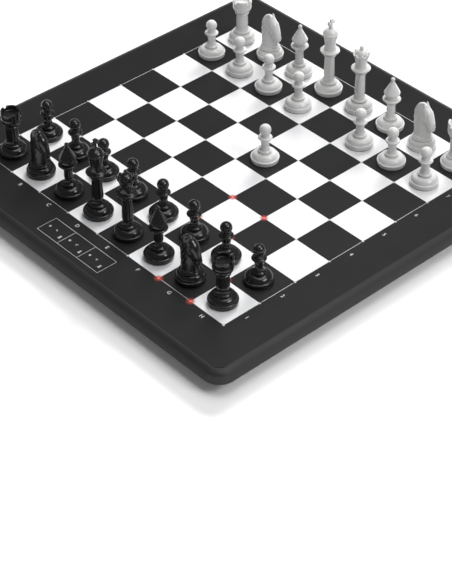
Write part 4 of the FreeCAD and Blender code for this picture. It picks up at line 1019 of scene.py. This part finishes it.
def carve(mesh):
    """Moves the skin by eyes, brows, nostrils, mouth and the mane's locks."""
    places = points_of(mesh).astype(float)
    normals = np.empty(places.size, np.float32)
    mesh.vertex_normals.foreach_get("vector", normals)
    normals = normals.reshape(-1, 3)
    x, y, z = places.T
    mirrored = np.column_stack([x, np.abs(y), z])
    height = 0.75 * soft_spot(mirrored, (4.7, 4.3, 34.5), (1.05, 1.3, 0.75))
    height -= 0.45 * soft_spot(mirrored, (6.2, 4.1, 34.8), (0.8, 1.4, 0.8))
    height += 0.45 * soft_spot(mirrored, (4.2, 4.1, 36.2), (1.9, 1.6, 0.6))
    height -= 0.55 * soft_spot(mirrored, (11.5, 2.3, 22.7), (0.6, 0.9, 0.6))
    height += 0.3 * soft_spot(mirrored, (11.3, 2.5, 23.9), (0.9, 1.0, 0.6))
    mouth = np.exp(-((z - (19.4 + 0.5 * (12.0 - x))) / 0.34) ** 2) * (x > 7.0)
    height -= 0.5 * mouth
    back = np.clip((1.6 - x - 0.1 * (z - 24)) / 3.5, 0, 1) * np.clip((z - 14.5) / 4.0, 0, 1)
    back *= np.clip((43.0 - z) / 4.0, 0, 1)
    locks = np.cos((x - 0.42 * z + 0.25 * np.abs(y)) * 2 * math.pi / 2.9)
    height += back * 0.22 * locks
    move_points(mesh, places + normals * height[:, None])
    mesh.update()
    return mesh


horse = carve(melted("horse", LIMBS))
print("horse's head", len(horse.polygons), "faces")

# %% [markdown]
# ## Setting up the men
# There is one mesh for each kind and colour of man, and each of the 32 men is a copy of it, moved
# to where the mechanical model has that man. Each rides on its own body, because each can be
# lifted off the board.

# %% Knight meshes and the king's cross join their turned feet
def scaled_mesh(mesh, scale, material):
    """A copy of a mesh in millimetres brought to metres, smooth, in one finish."""
    copy = mesh.copy()
    move_points(copy, points_of(copy) * scale)
    copy.materials.clear()
    copy.materials.append(material)
    copy.shade_smooth()
    return copy


def master(kind, colour):
    """The whole man of that kind and colour, standing on the origin."""
    parts = [turned_mesh(kind, colour)]
    if kind == "king":
        parts.append(cross_mesh(colour))
    if kind == "knight":
        parts.append(scaled_mesh(horse, MM, colour))
    return parts[0] if len(parts) == 1 else joined(kind, parts, [colour, felt])


masters = {(kind, name): master(kind, colour) for kind in PROFILES
           for name, colour in (("black", men_black), ("white", men_white))}
print("faces in each man", {kind: len(masters[kind, "black"].polygons) for kind in PROFILES})


# %% Stand every man in its place
def placed_copy(name, mesh, offset):
    """A copy of a mesh moved by an offset, still with its object at the origin."""
    copy = mesh.copy()
    copy.name = name
    move_points(copy, points_of(copy) + np.asarray(offset, np.float32))
    copy.update()
    return copy


men = []
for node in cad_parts:
    colour, _, rest = node.partition("_")
    if colour not in ("black", "white"):
        continue
    kind = rest.split("_")[0]
    low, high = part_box(node)
    middle = ((low.x + high.x) / 2, (low.y + high.y) / 2, low.z)
    man = new_piece(node + "_turned", placed_copy(node + "_turned", masters[kind, colour], middle),
                    node + "_man")
    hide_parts(node)
    men.append(man)
for mesh in masters.values():
    bpy.data.meshes.remove(mesh)
print("men on the board", len(men))

# %% [markdown]
# ## Floor, camera and light
# The object stands on a plain pale floor. The camera looks from the front right corner, a little
# over a metre and a half away with a long lens, so the board's edges hardly converge. The main
# soft light stands behind the board and throws a soft shadow towards the viewer. It is hidden from
# reflections, so it leaves no sheen on the flat black top. A small light at the right side puts
# narrow highlights on the polished men, and a large one overhead fills in, under a pale surround.

# %% Floor
floor_mesh = mesh_from("floor", np.array([(-6, -6, 0), (6, -6, 0), (6, 6, 0), (-6, 6, 0)], float),
                       [[0, 1, 2, 3]], [])
floor = bpy.data.objects.new("floor", floor_mesh)
bpy.context.scene.collection.objects.link(floor)
floor_paint = finish("floor_pale", (0.95, 0.95, 0.95), 0.9, shift=0.0, grain=300, bump=0.0,
                     Emission_Strength=0.06)
floor_mesh.materials.append(floor_paint)

# %% Camera
HEADING, DIP = math.radians(47.62), math.radians(40.27)
camera_data = bpy.data.cameras.new("camera")
camera_data.lens = 114.3
camera_data.sensor_width = 36.0
camera = bpy.data.objects.new("camera", camera_data)
camera.location = (0.9405, -0.8690, 0.9360 + TOP)
camera.rotation_euler = (math.pi / 2 - DIP, 0.0, HEADING)
bpy.context.scene.collection.objects.link(camera)
bpy.context.scene.camera = camera


# %% Lights
def soft_light(name, place, aim, width, height, watts):
    """A rectangular area light at a place, turned to face a point."""
    lamp = bpy.data.lights.new(name, "AREA")
    lamp.shape = "RECTANGLE"
    lamp.size, lamp.size_y = width, height
    lamp.energy = watts
    carrier = bpy.data.objects.new(name, lamp)
    carrier.location = place
    way = np.array(aim) - np.array(place)
    carrier.rotation_euler = (math.acos(-way[2] / np.linalg.norm(way)), 0.0,
                              math.atan2(way[1], way[0]) - math.pi / 2)
    bpy.context.scene.collection.objects.link(carrier)
    return carrier


back = soft_light("back", (-1.1, 1.75, 1.6), aim=(0.0, 0.0, 0.0), width=1.1, height=0.7, watts=74)
back.visible_glossy = False
soft_light("side", (1.35, 0.35, 1.3), aim=(0.1, -0.05, 0.0), width=0.8, height=0.6, watts=12)
soft_light("overhead", (0.1, 0.35, 2.0), aim=(0.05, 0.0, 0.0), width=1.6, height=1.4, watts=20)
world = bpy.data.worlds.new("surround")
world.use_nodes = True
surround = world.node_tree.nodes["Background"].inputs
surround["Color"].default_value = (0.95, 0.96, 1.0, 1.0)
surround["Strength"].default_value = 0.16
bpy.context.scene.world = world
bpy.context.scene.view_settings.view_transform = "Standard"
print("camera at", [round(v, 3) for v in camera.location])
